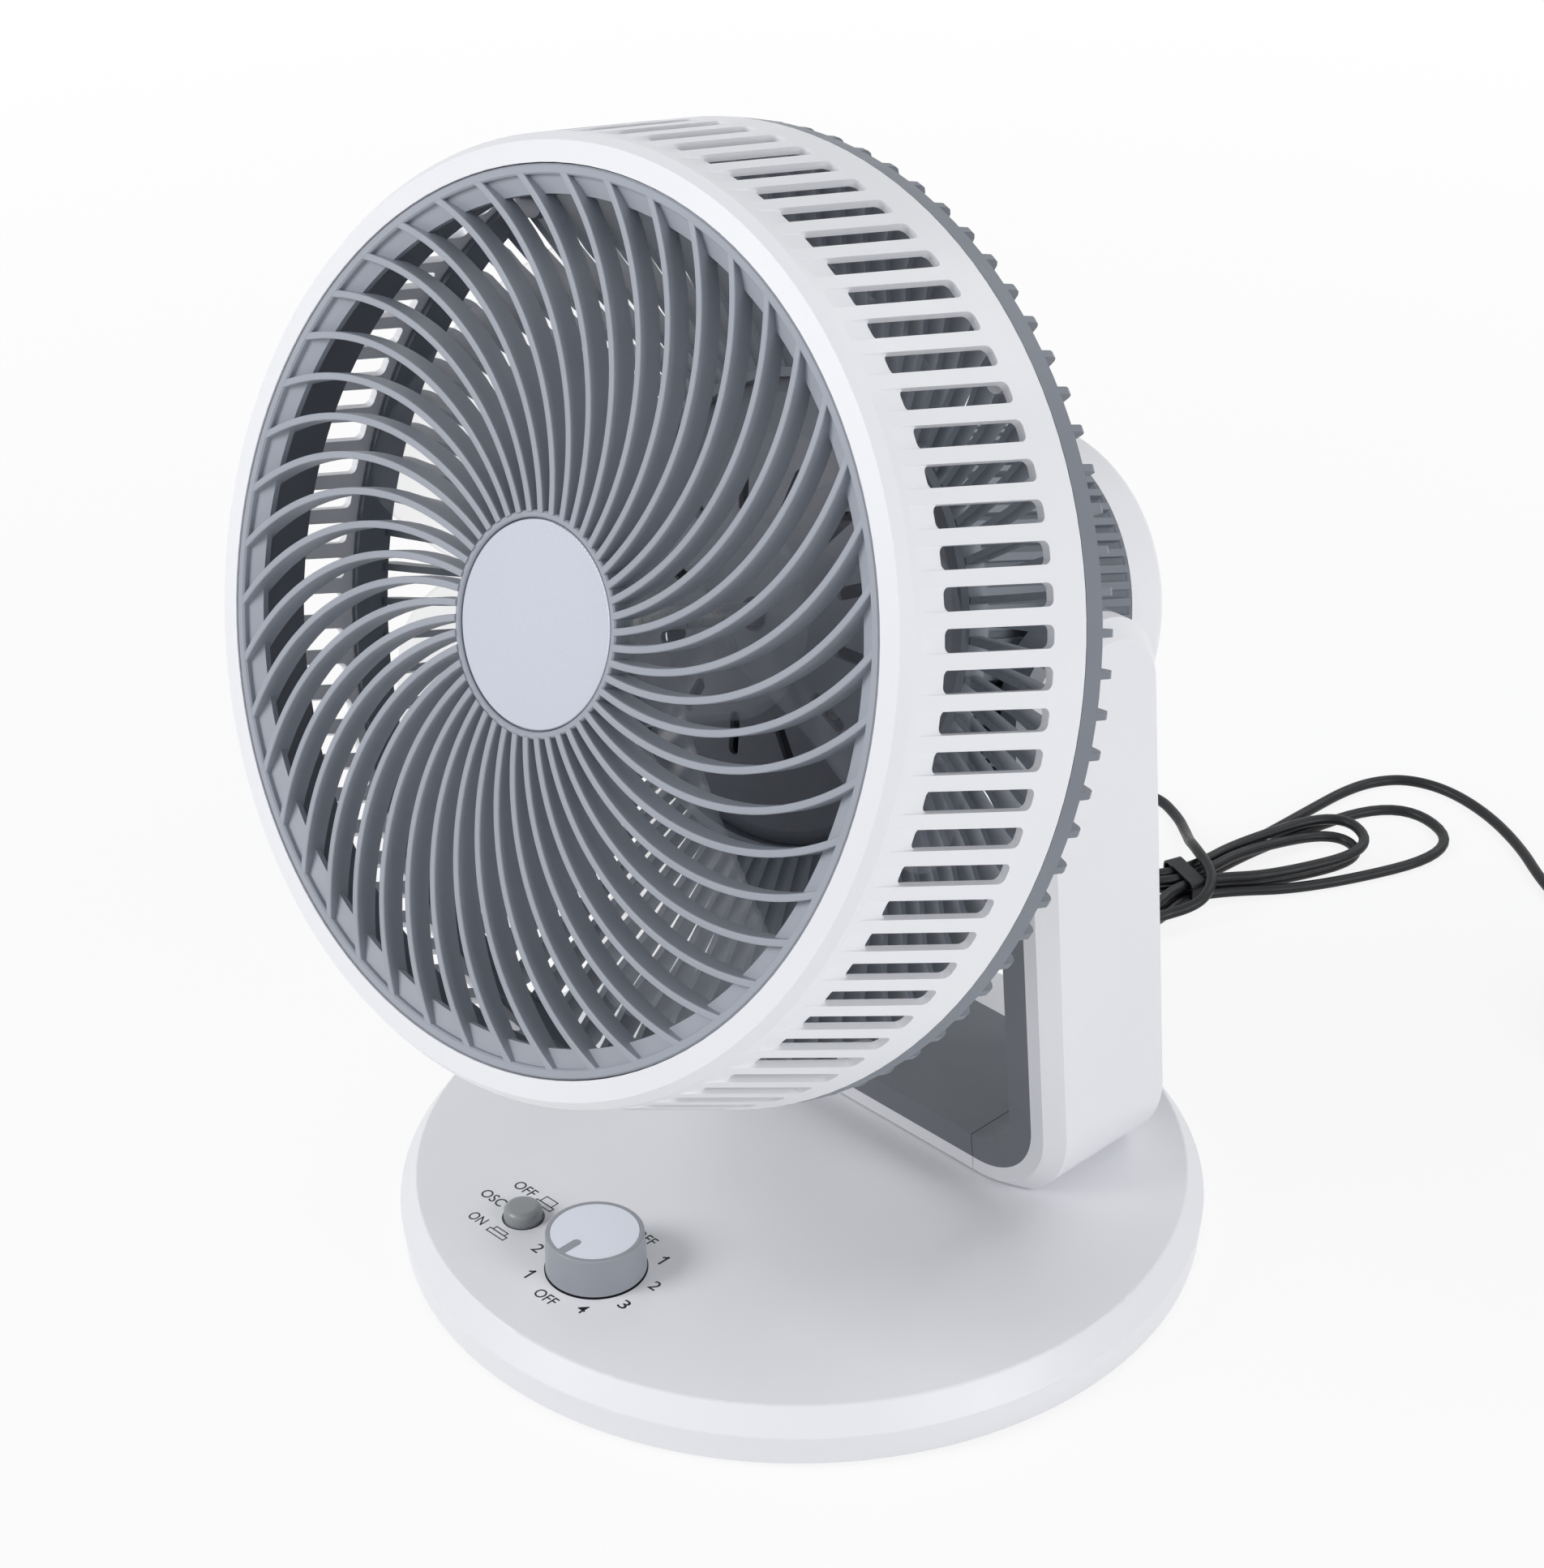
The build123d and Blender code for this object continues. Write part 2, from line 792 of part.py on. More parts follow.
def liner_cavity():
    # the liner's hollow opens towards the white shell
    depth = arm_half_depth - liner_recess - wall
    top = yoke_block(arm_border + 1, depth)
    core = yoke_block(arm_inner + wall, arm_half_depth + 10)
    return top - core


def beyond_seam(side):
    # everything outside the seam on one side: 1 is right and -1 is left
    size = 4 * arm_outer
    centre = side * (seam_x + seam_width / 2 + size / 2)
    return block(size, size, -10, 2 * pivot_height, centre, swing_y)


def within_seams():
    return block(2 * seam_x - seam_width, 4 * arm_outer, -10, 2 * pivot_height, 0, swing_y)


def across(radius, start, end, side, y, z):
    # a rod along X, on one side
    first = side * start
    last = side * end
    middle = (first + last) / 2
    return Pos(middle, y, z) * Rot(0, 90, 0) * Cylinder(radius, abs(last - first))


def make_arm_shells(white):
    hollow = white_cavity()
    shells = {}
    for name, side in (("left", -1), ("right", 1)):
        shells[name] = (white - hollow) & beyond_seam(side)
    return shells


def make_floor_shell(white):
    middle = (white - white_cavity()) & within_seams()
    middle -= rod(spindle_radius + running_fit, yoke_floor - 1, yoke_floor + wall + 1, 0, swing_y)
    hole = screw_radius + 0.1
    return middle - [rod(hole, yoke_floor + 0.6, 40, x, y) for x, y in floor_screw_places()]


def floor_screw_places():
    return [(x, y + swing_y) for x, y in circle_places(floor_screw_circle, 4, 45)]


def make_arm_liners(liner):
    hollow = liner_cavity()
    liners = {}
    for name, side in (("left", -1), ("right", 1)):
        shell = (liner - hollow) & beyond_seam(side)
        boss = across(pin_head_radius + wall, arm_inner + 1, arm_border - 1, side, pivot_y, pivot_height)
        shell += boss
        bore = across(pin_radius + press_gap, arm_inner - 5, arm_outer, side, pivot_y, pivot_height)
        shell -= bore
        liners[name] = shell
    return liners


def make_floor_liner(liner):
    return (liner - liner_cavity()) & within_seams()


def make_yoke_spindle():
    bottom = yoke_floor + wall
    flange = rod(spindle_flange_radius, bottom, bottom + spindle_flange_thickness, 0, swing_y)
    stem = rod(spindle_radius, spindle_bottom, bottom + 1, 0, swing_y)
    spindle = flange + stem
    spindle -= rod(spindle_bore_radius, spindle_bottom - 1, bottom + 10, 0, swing_y)
    hole = screw_radius + 0.1
    return spindle - [rod(hole, bottom - 1, bottom + 10, x, y) for x, y in floor_screw_places()]


def make_spindle_clip():
    top = gear_bottom - 0.1
    return tube(clip_radius, spindle_radius + press_gap, top - clip_thickness, top, 0, swing_y)


def make_floor_screws():
    seat = yoke_floor + wall + spindle_flange_thickness
    return [screw(x, y, seat, yoke_floor + 0.8, -1) for x, y in floor_screw_places()]


def make_pivot_pins():
    pins = []
    for side in (-1, 1):
        shank = across(pin_radius, boss_root + 2, arm_border - 1, side, pivot_y, pivot_height)
        head_start = arm_border - 1
        head_end = head_start + pin_head_thickness
        head = across(pin_head_radius, head_start, head_end, side, pivot_y, pivot_height)
        pins.append(shank + head)
    return pins


def make_pivot_washers():
    washers = []
    for side in (-1, 1):
        start = arm_inner - pivot_washer_thickness
        ring = across(pivot_washer_radius, start, arm_inner, side, pivot_y, pivot_height)
        ring -= across(pin_radius + loose_fit, start - 1, arm_inner + 1, side, pivot_y, pivot_height)
        washers.append(ring)
    return washers


# Head

rim_screw_places = circle_places(rim_screw_circle, rim_screw_count, 45 + fin_pitch / 2)


def make_front_hoop():
    shelf = grille_back
    profile = [
        (hoop_inner_radius, hoop_face),
        (hoop_inner_radius + hoop_face_width, hoop_face - hoop_face_drop),
        (hoop_front_radius, hoop_shoulder),
        (hoop_rear_radius, hoop_rear),
        (hoop_rear_radius - hoop_wall, hoop_rear),
        (hoop_inner_at(shelf), shelf),
        (hoop_front_radius - hoop_web_width, hoop_shoulder),
        (hoop_inner_radius + hoop_bezel_width, hoop_shoulder),
        (hoop_inner_radius + hoop_bezel_width, shelf - duct_seat_depth),
        (duct_outer_radius + loose_fit, shelf - duct_seat_depth),
        (duct_outer_radius + loose_fit, shelf),
        (hoop_inner_radius, shelf),
    ]
    hoop = head_turned(profile)
    slot = hoop_slot()
    hoop -= around(slot, slot_count)
    bosses = [
        head_rod(rim_boss_radius, hoop_rear, slot_rear - 2, x, y) for x, y in rim_screw_places
    ]
    hoop += bosses
    hole = screw_radius + screw_bore_gap
    bore_end = hoop_rear + rim_screw_reach + rim_bore_spare
    hoop -= [head_rod(hole, hoop_rear - 1, bore_end, x, y) for x, y in rim_screw_places]
    return hoop


def hoop_slot():
    # a long opening with a shallow groove that leads into it from the front
    length = slot_front - slot_rear
    middle = along((slot_front + slot_rear) / 2)
    opening = Box(slot_cut_depth, slot_width, length)
    opening = fillet(opening.edges().filter_by(Axis.X), slot_corner)
    opening = Pos(hoop_front_radius + slot_cut_offset, 0, middle) * opening
    slope = (hoop_rear_radius - hoop_front_radius) / (hoop_shoulder - hoop_rear)
    groove_radius = hoop_front_radius + slope * (hoop_shoulder - slot_lead_in)
    groove_length = slot_lead_in - slot_front + slot_groove_overlap
    groove = Box(slot_cut_depth, slot_width, groove_length, align=(Align.MIN, Align.CENTER, Align.MAX))
    return opening + Pos(groove_radius, 0, along(slot_lead_in)) * groove


def polar_point(radius, angle):
    return (radius * cos(radians(angle)), radius * sin(radians(angle)))


def rib_band():
    # one rib seen from the front: a band of steady width along an arc through three places
    first = polar_point(rib_inner_radius, 0)
    second = polar_point(rib_middle_radius, rib_middle_sweep)
    third = polar_point(rib_outer_radius, rib_outer_sweep)
    arc = ThreePointArc(first, second, third)
    centre = arc.arc_center
    radius = arc.radius
    start = degrees(atan2(first[1] - centre.Y, first[0] - centre.X))
    end = degrees(atan2(third[1] - centre.Y, third[0] - centre.X))
    span = (end - start + 180) % 360 - 180
    half = rib_width / 2
    with BuildSketch() as band:
        with BuildLine():
            outside = CenterArc((centre.X, centre.Y), radius + half, start, span)
            inside = CenterArc((centre.X, centre.Y), radius - half, start, span)
            Line(outside @ 0, inside @ 0)
            Line(outside @ 1, inside @ 1)
        make_face()
    return band.sketch


def make_grille_rib():
    rib = Pos(0, 0, along(grille_back)) * extrude(rib_band(), rib_middle_top - grille_back + 1)
    first = hub_ring_outer - lip_overlap
    last = grille_lip_inner + lip_overlap
    dome = ThreePointArc(
        (first, along(rib_top)),
        (rib_middle_radius, along(rib_middle_top)),
        (last, along(rib_end_top)),
    )
    floor = along(grille_back - 1)
    sides = Polyline((last, along(rib_end_top)), (last, floor), (first, floor), (first, along(rib_top)))
    rib &= revolve(Plane.XZ * make_face([dome, sides]), Axis.Z)
    top = rib.faces().sort_by(Axis.Z)[-1]
    return fillet(top.edges().sort_by(SortBy.LENGTH)[-2:], rib_edge)


def make_front_grille():
    lip = [
        (grille_lip_inner, grille_back),
        (grille_lip_inner, grille_lip_top - grille_lip_edge),
        (grille_lip_inner + grille_lip_edge, grille_lip_top),
        (grille_lip_outer - grille_lip_edge, grille_lip_top),
        (grille_lip_outer, grille_lip_top - grille_lip_edge),
        (grille_lip_outer, grille_back),
    ]
    flange = [
        (grille_flange_inner, grille_flange_top),
        (grille_lip_inner + lip_overlap, grille_flange_outer_top),
        (grille_lip_inner + lip_overlap, grille_flange_outer_top - grille_flange_thickness),
        (grille_flange_inner, grille_flange_top - grille_flange_thickness),
    ]
    hub = [
        (hub_ring_inner, grille_back),
        (hub_ring_inner, hub_ring_top - hub_ring_edge),
        (hub_ring_inner + hub_ring_edge, hub_ring_top),
        (hub_ring_outer - hub_ring_edge, hub_ring_top),
        (hub_ring_outer, hub_ring_top - hub_ring_edge),
        (hub_ring_outer, grille_back),
    ]
    seat = badge_top - badge_thickness
    backing = head_rod(hub_ring_inner + lip_overlap, seat - badge_backing, seat)
    ribs = around(make_grille_rib(), rib_count, rib_first_angle)
    return head_turned(lip) + [head_turned(flange), head_turned(hub), backing] + ribs


def make_grille_badge():
    seat = badge_top - badge_thickness
    disc = head_rod(badge_radius, seat, badge_top)
    return fillet(disc.edges().group_by(Axis.Z)[-1], badge_edge)


def make_duct_ring():
    return head_tube(duct_outer_radius, duct_inner_radius, duct_rear, grille_back)


def make_rear_fin():
    # one fin seen from the side: from the rim, past its rear tooth, in to the motor's collar
    rim_hold = rim_inner_radius + fin_hold
    collar_hold = collar_outer_radius - fin_collar_overlap
    outside = hoop_rear_radius - fin_inset
    points = [
        (rim_hold, fin_front),
        (rim_hold, rim_rear),
        (outside, rim_rear),
        (outside, fin_tooth_side),
        (outside - fin_tooth_round * 0.3, fin_tooth_side - fin_tooth_round * 0.7),
        (outside - fin_tooth_round, fin_tooth_rear),
        (fin_tail_radius, fin_tail),
        (fin_knee_radius, fin_knee_rear),
        (collar_hold, mount_plate_rear + fin_collar_drop),
        (collar_hold, collar_front - 1),
        (fin_knee_radius, fin_knee_front),
        (fin_corner_radius, fin_corner_front),
    ]
    flat = Polyline(*[(radius, along(distance)) for radius, distance in points], close=True)
    return extrude(Plane.XZ * make_face(flat), fin_thickness / 2, both=True)


def hoop_inner_at(distance):
    # radius of the hoop's inner wall at a distance from the ring's plane
    front = hoop_front_radius - hoop_wall + hoop_wall_thinning
    rear = hoop_rear_radius - hoop_wall
    share = (distance - grille_back) / (hoop_rear - grille_back)
    return front + share * (rear - front)


def make_rear_grille():
    rim = head_tube(hoop_rear_radius, rim_inner_radius, rim_rear, rim_front)
    spigot_outer = hoop_inner_at(spigot_front) - spigot_gap
    spigot_inner = spigot_outer - spigot_wall
    link_rear = rim_front - rim_link_depth
    spigot = head_tube(spigot_outer, spigot_inner, link_rear, spigot_front)
    link = head_tube(rim_inner_radius + rim_link_overlap, spigot_inner, link_rear, rim_front)
    collar = head_tube(collar_outer_radius, collar_inner_radius, mount_plate_rear, collar_front)
    plate = head_tube(collar_outer_radius, mount_plate_inner_radius, mount_plate_rear, mount_plate_front)
    fins = around(make_rear_fin(), fin_count)
    grille = rim + [spigot, link, collar, plate] + fins
    lug_rear = rim_front - rim_lug_thickness
    lugs = [head_rod(rim_lug_radius, lug_rear, rim_front, x, y) for x, y in rim_screw_places]
    boss_room = rim_boss_radius + loose_fit
    room_end = spigot_front + rim_bore_room
    grille -= [head_rod(boss_room, rim_front, room_end, x, y) for x, y in rim_screw_places]
    grille += lugs
    hole = screw_radius + screw_bore_gap
    grille -= [head_rod(hole, lug_rear - rim_lug_thickness, room_end, x, y) for x, y in rim_screw_places]
    return grille


def make_rim_screws():
    seat = along(rim_front - rim_lug_thickness)
    tip = along(hoop_rear + rim_screw_reach)
    return [screw(x, y, seat, tip, 1) for x, y in rim_screw_places]


def make_motor_dish():
    surface = [(dish_edge_radius, dish_edge)] + dish_rings + [(shaft_radius + dish_shaft_gap, dish_top)]
    under = [(radius, distance - dish_wall) for radius, distance in reversed(surface)]
    under[-1] = (dish_edge_radius, mount_plate_front)
    dish = head_turned(surface + under)
    vent_length = dish_vent_outer - dish_vent_inner
    vent = Box(vent_length, dish_vent_width, 2 * (dish_top - dish_edge))
    vent = fillet(vent.edges().filter_by(Axis.Z), dish_vent_width / 2 - face_recess)
    vent = Pos((dish_vent_outer + dish_vent_inner) / 2, 0, along(dish_rings[-2][1])) * vent
    return dish - around(vent, dish_vent_count)


# Motor

motor_screw_places = circle_places(motor_screw_circle, motor_screw_count, 45)
cover_screw_places = circle_places(cover_screw_circle, cover_screw_count, 90)


def make_motor_housing():
    inner = drum_radius - wall
    housing = head_tube(drum_radius, inner, drum_rear, mount_plate_rear)
    housing += head_tube(inner + 1, bell_hub_radius + web_bore_gap, bell_front, mount_plate_rear)
    rib_depth = drum_rib_radius - drum_radius + 2 * drum_rib_root
    rib_length = mount_plate_rear - drum_rear - drum_rib_short
    rib = Box(rib_depth, drum_rib_width, rib_length)
    rib = Pos((drum_radius + drum_rib_radius) / 2 - drum_rib_root, 0, 0) * rib
    rib = Pos(0, 0, along((drum_rear + mount_plate_rear) / 2)) * rib
    housing += around(rib, drum_rib_count)
    boss_end = arm_inner - pivot_washer_thickness
    for side in (-1, 1):
        housing += across(boss_radius, boss_root, boss_end, side, -pivot_drop, 0)
    posts = [head_rod(cover_post_radius, drum_rear, cover_post_front, x, y) for x, y in cover_screw_places]
    housing += posts
    for side in (-1, 1):
        housing -= across(pin_radius + running_fit, boss_root - 1, boss_end + 1, side, -pivot_drop, 0)
    hole = screw_radius + screw_bore_gap
    bore_end = drum_rear + cover_screw_reach + cover_bore_spare
    housing -= [head_rod(hole, drum_rear - 1, bore_end, x, y) for x, y in cover_screw_places]
    clearance = screw_radius + loose_fit
    housing -= [
        head_rod(clearance, bell_front - 1, mount_plate_rear + 1, x, y) for x, y in motor_screw_places
    ]
    return housing


def make_motor_cover():
    outside = head_rod(cover_radius, cover_rear, drum_rear)
    outside = fillet(outside.edges().group_by(Axis.Z)[0], cover_edge)
    inside = head_rod(cover_radius - cover_wall, cover_rear + cover_wall, drum_rear + 1)
    inside = fillet(inside.edges().group_by(Axis.Z)[0], cover_edge - cover_wall)
    cover = outside - inside
    seat = cover_rear + cover_screw_seat
    for x, y in cover_screw_places:
        cover += head_rod(cover_post_radius, cover_rear + 1, drum_rear, x, y)
        cover -= head_rod(screw_head_radius + cover_head_gap, cover_rear - 1, seat, x, y)
        cover -= head_rod(screw_radius + cover_shank_gap, seat - 1, drum_rear + 1, x, y)
    return cover


def make_cover_screws():
    seat = along(cover_rear + cover_screw_seat)
    tip = along(drum_rear + cover_screw_reach)
    return [screw(x, y, seat, tip, 1) for x, y in cover_screw_places]


def make_motor_screws():
    # driven back through the drum's front web into the motor's front bell
    seat = along(mount_plate_rear)
    tip = along(bell_front - bell_wall + motor_screw_tip_short)
    return [screw(x, y, seat, tip, -1) for x, y in motor_screw_places]


def bell(rim_end, disc_end, hub_end):
    # a cup with a hub for the bush: it opens from disc_end towards rim_end
    direction = 1 if rim_end > disc_end else -1
    disc_inner = disc_end + direction * bell_wall
    low = min(disc_end, disc_inner)
    cup = head_tube(stator_radius + bell_wall, bush_outer_radius + press_gap, low, low + bell_wall)
    cup += head_tube(
        stator_radius + bell_wall, stator_radius + running_fit, min(disc_end, rim_end), max(disc_end, rim_end)
    )
    cup += head_tube(
        bell_hub_radius, bush_outer_radius + press_gap, min(disc_end, hub_end), max(disc_end, hub_end)
    )
    return cup


def make_front_bell():
    front = bell(stator_front - bell_grip, bell_front, bell_front - bush_length - bush_stop)
    hole = screw_radius + screw_bore_gap
    holes = [
        head_rod(hole, bell_front - bell_wall - 1, bell_front + 1, x, y) for x, y in motor_screw_places
    ]
    return front - holes


def make_rear_bell():
    rim_end = stator_front - stator_thickness + bell_grip
    return bell(rim_end, bell_rear, bell_rear + bush_length + bush_stop)


def make_shaft_bushes():
    front = head_tube(
        bush_outer_radius, shaft_radius + running_fit, bell_front - bush_length, bell_front - bush_inset
    )
    rear = head_tube(
        bush_outer_radius, shaft_radius + running_fit, bell_rear + bush_inset, bell_rear + bush_length
    )
    return [front, rear]


def make_stator_core():
    rear = stator_front - stator_thickness
    core = head_tube(stator_radius, stator_bore, rear, stator_front)
    slot = Box(stator_slot_depth, stator_slot_width, 3 * stator_thickness)
    slot = Pos(stator_bore + stator_slot_middle, 0, along(stator_front)) * slot
    return core - around(slot, stator_slot_count)


def make_stator_windings():
    coils = []
    inner = stator_bore + winding_inset
    outer = stator_radius - winding_rim
    rear = stator_front - stator_thickness
    for low in (stator_front, rear - winding_height):
        ring = head_tube(outer, inner, low, low + winding_height)
        coils.append(fillet(ring.edges(), winding_edge))
    return coils


def make_rotor_core():
    rear = stator_front - stator_thickness
    return head_tube(stator_bore - rotor_air_gap, shaft_radius + press_gap, rear, stator_front)


def make_motor_shaft():
    shaft = head_rod(shaft_radius, shaft_rear, shaft_front)
    return chamfer(shaft.edges(), shaft_chamfer)


# Impeller

def make_impeller_blade():
    # a sloping sheet, straight across and twisted outwards, trimmed to the blade's outline
    middle = -blade_span / 2
    sections = []
    for station, slope in (
        (blade_inner_station, blade_inner_slope),
        (blade_outer_station, blade_outer_slope),
    ):
        half = blade_half_width
        rise = half * slope
        low = along(blade_middle) - blade_thickness / 2
        high = low + blade_thickness
        corners = [(-half, low - rise), (half, low + rise), (half, high + rise), (-half, high - rise)]
        section = make_face(Polyline(*corners, close=True))
        sections.append(Plane(origin=(station, 0, 0), x_dir=(0, 1, 0), z_dir=(1, 0, 0)) * section)
    sheet = loft(sections, ruled=True)
    return (Rot(0, 0, middle) * sheet) & blade_outline()


def blade_outline():
    # front view: hub to tip, with a rounded trailing corner at the tip and a swept leading edge
    trim = blade_tip_radius + blade_trim
    trailing_root = polar_point(blade_root_radius, blade_trailing_root)
    trailing_middle = polar_point(blade_bend_radius, blade_trailing_bend)
    trailing_tip = polar_point(trim, blade_trailing_tip)
    leading_tip = polar_point(trim, -blade_span)
    leading_middle = polar_point(blade_bend_radius, blade_leading_bend)
    leading_root = polar_point(blade_root_radius, blade_leading_root)
    with BuildSketch() as outline:
        with BuildLine():
            ThreePointArc(trailing_root, trailing_middle, trailing_tip)
            Polyline(trailing_tip, polar_point(2 * blade_tip_radius, -blade_span / 2), leading_tip)
            ThreePointArc(leading_tip, leading_middle, leading_root)
            Line(leading_root, trailing_root)
        make_face()
        Circle(blade_tip_radius, mode=Mode.INTERSECT)
    shape = outline.sketch
    tips = [corner for corner in shape.vertices() if hypot(corner.X, corner.Y) > blade_tip_radius - 1]
    face = shape.faces()[0].fillet_2d(blade_corner, tips)
    return extrude(face, 2 * ring_reach)


def make_impeller():
    hub = [
        (0, fan_hub_front),
        (fan_hub_radius - 4, fan_hub_front),
        (fan_hub_radius, fan_hub_front - 4),
        (fan_hub_radius, fan_hub_rear),
        (fan_hub_radius - wall, fan_hub_rear),
        (fan_hub_radius - wall, fan_hub_front - 5),
        (fan_hub_radius - 5, fan_hub_front - wall),
        (0, fan_hub_front - wall),
    ]
    impeller = head_turned(hub)
    impeller += head_rod(fan_boss_radius, fan_boss_rear, fan_hub_front - 1)
    impeller += around(make_impeller_blade(), blade_count, blade_rest_angle)
    return impeller - head_rod(shaft_radius + press_gap, fan_hub_rear - 5, fan_hub_front + 5)


def make_impeller_nut():
    hexagon = RegularPolygon(nut_width / 2, 6, major_radius=False)
    nut = Pos(0, 0, along(fan_hub_front)) * extrude(hexagon, nut_thickness)
    return nut - head_rod(shaft_radius + press_gap, fan_hub_front - 1, fan_hub_front + nut_thickness + 1)


# Power cord

gland_x = gland_wall_radius * cos(radians(gland_bearing))
gland_y = gland_wall_radius * sin(radians(gland_bearing))
gland_place = Location((gland_x, gland_y, gland_height)) * Rot(0, 0, gland_bearing) * Rot(0, 90, 0)

# Places on the table that the cord passes, from the base to the tie and from the tie to the plug
lead_points = [
    (-74.1, 159.0, 10.5),
    (-80.3, 172.1, 10.5),
    (-89.0, 188.0, 5.6),
    (-104.0, 203.0, 2.35),
    (-124.0, 223.0, 2.35),
    (-137.0, 250.0, 2.35),
    (-135.0, 281.0, 2.35),
    (-118.0, 304.0, 2.35),
    (-96.0, 315.0, 2.35),
    (-78.0, 308.0, 2.35),
    (-66.0, 299.0, 4.0),
    (-55.2, 288.9, 8.5),
    (-46.5, 280.6, 14.5),
    (-25.8, 269.8, 14.5),
    (-19.6, 258.6, 11.4),
    (-20.4, 249.4, 9.3),
]
tail_points = [
    (-42.4, 304.6, 2.35),
    (-41.4, 330.6, 2.35),
    (-40.7, 355.8, 2.35),
    (-40.0, 374.6, 2.35),
    (-36.2, 390.2, 2.35),
    (-26.6, 402.7, 2.35),
    (-7.9, 407.9, 2.35),
    (17.1, 403.6, 2.35),
    (42.7, 392.1, 2.35),
    (63.3, 378.1, 2.35),
    (81.5, 368.8, 2.35),
    (98.5, 364.5, 2.35),
    (113.5, 359.0, 5.4),
    (123.5, 347.5, 8.6),
    (131.0, 334.5, 8.6),
]


def hank_place(forward, sideways, height):
    # a place in the hank: forward along it from the tie, sideways to its left
    bearing = radians(hank_bearing)
    x = hank_x + forward * cos(bearing) - sideways * sin(bearing)
    y = hank_y + forward * sin(bearing) + sideways * cos(bearing)
    return (x, y, height)


def turn_at(before, here, after):
    return (Vector(*here) - Vector(*before)).get_angle(Vector(*after) - Vector(*here))


def bend_radii(points, share=0.45):
    # each arc is as large as the shorter of its two runs allows
    radii = []
    for before, here, after in zip(points, points[1:], points[2:]):
        shorter = min((Vector(*here) - Vector(*before)).length, (Vector(*after) - Vector(*here)).length)
        radii.append(share * shorter / tan(radians(turn_at(before, here, after)) / 2))
    return radii


def hank_step(boundary):
    # how far the loops have spiralled in where two half turns meet, from 0 at both ends of the hank
    return cord_pitch / 2 * min(boundary, hank_half_turns - boundary)


def hank_height(boundary, lowest, step):
    # the first half of the boundaries lie on the upper layer and the rest on the lower one
    upper = boundary < hank_half_turns / 2
    return lowest + step if upper else lowest


def hank_points():
    # The loops are drawn in at the tie. They spiral in on the upper layer, drop to the lower one along
    # the half turn where the spiral reverses, and spiral out again. One right-hand loop is loose.
    points = []
    most = hank_step(hank_half_turns // 2)
    for half in range(hank_half_turns):
        side = -1 if half % 2 == 0 else 1
        loose = half == loose_half_turn
        reach = left_reach if side < 0 else right_reach
        reach = loose_reach if loose else reach
        width = loose_width if loose else lobe_width
        lobe_height = hank_height(half + 1, cord_rest, cord_layer)
        grow = most - hank_step(half)
        grow_after = most - hank_step(half + 1)
        waist = waist_outer - hank_step(half + 1)
        waist_height = hank_height(half + 1, cord_rest + tie_lift, tie_layer)
        shoulder = lobe_shoulder * reach
        first_share = loose_shoulder_width if loose else shoulder_width
        first_height = hank_height(half, cord_rest, cord_layer)
        points += [
            hank_place(side * shoulder, side * (first_share * width + grow), first_height),
            hank_place(side * (reach + grow), side * (width + grow), lobe_height),
            hank_place(side * (reach + grow_after), -side * (width + grow_after), lobe_height),
            hank_place(side * shoulder, -side * (shoulder_width * width + grow_after), lobe_height),
            hank_place(side * waist_run, -side * waist, waist_height),
            hank_place(-side * waist_run, -side * waist, waist_height),
        ]
    return points


def halfway(first, second):
    return tuple((a + b) / 2 for a, b in zip(first, second))


def least_gap(path, name):
    # the smallest clear distance between stretches of the tube that aren't next to each other
    spacing = 1.5
    count = int(path.length / spacing)
    places = [path.position_at(index / count) for index in range(count + 1)]
    places = [(place.X, place.Y, place.Z) for place in places]
    apart = int(6 * cord_radius * 2 / spacing)
    least = 1000.0
    for index, (x, y, z) in enumerate(places):
        for other in places[index + apart :]:
            square = (x - other[0]) ** 2 + (y - other[1]) ** 2 + (z - other[2]) ** 2
            least = min(least, square)
    print(f"{name}: least gap to itself {sqrt(least) - 2 * cord_radius:.2f}")


def cord_routes():
    # the three stretches of one cord: each ends half-way along a run that it shares with the next
    hank = hank_points()
    to_hank = halfway(lead_points[-1], hank[0])
    from_hank = halfway(hank[-1], tail_points[0])
    return {
        "cord_lead": lead_points + [to_hank],
        "cord_hank": [to_hank] + hank + [from_hank],
        "cord_tail": [from_hank] + tail_points,
    }


def make_cords():
    cords = {}
    for name, points in cord_routes().items():
        radii = bend_radii(points)
        path = FilletPolyline(*points, radius=radii)
        start = Plane(origin=path @ 0, z_dir=path % 0)
        solid = sweep(start * Circle(cord_radius), path)
        share = solid.volume / (pi * cord_radius**2 * path.length)
        print(f"{name}: length {path.length:.0f}, radii", [round(radius) for radius in radii])
        print(f"{name}: volume over section times length {share:.4f}")
        least_gap(path, name)
        cords[name] = solid
    return cords


def make_cord_gland():
    # the strain relief: a collar each side of the base's wall, then a sleeve that tapers to the cord
    inside = -wall - gland_flange_gap
    sleeve_start = gland_flange_thickness + 0.4
    profile = [
        (0, inside - gland_flange_thickness),
        (gland_flange_radius, inside - gland_flange_thickness),
        (gland_flange_radius, inside),
        (gland_root_radius, inside),
        (gland_root_radius, 0.4),
        (gland_flange_radius, 0.4),
        (gland_flange_radius, sleeve_start),
        (gland_root_radius, sleeve_start),
        (gland_tip_radius, gland_length),
        (0, gland_length),
    ]
    return gland_place * turned(profile)


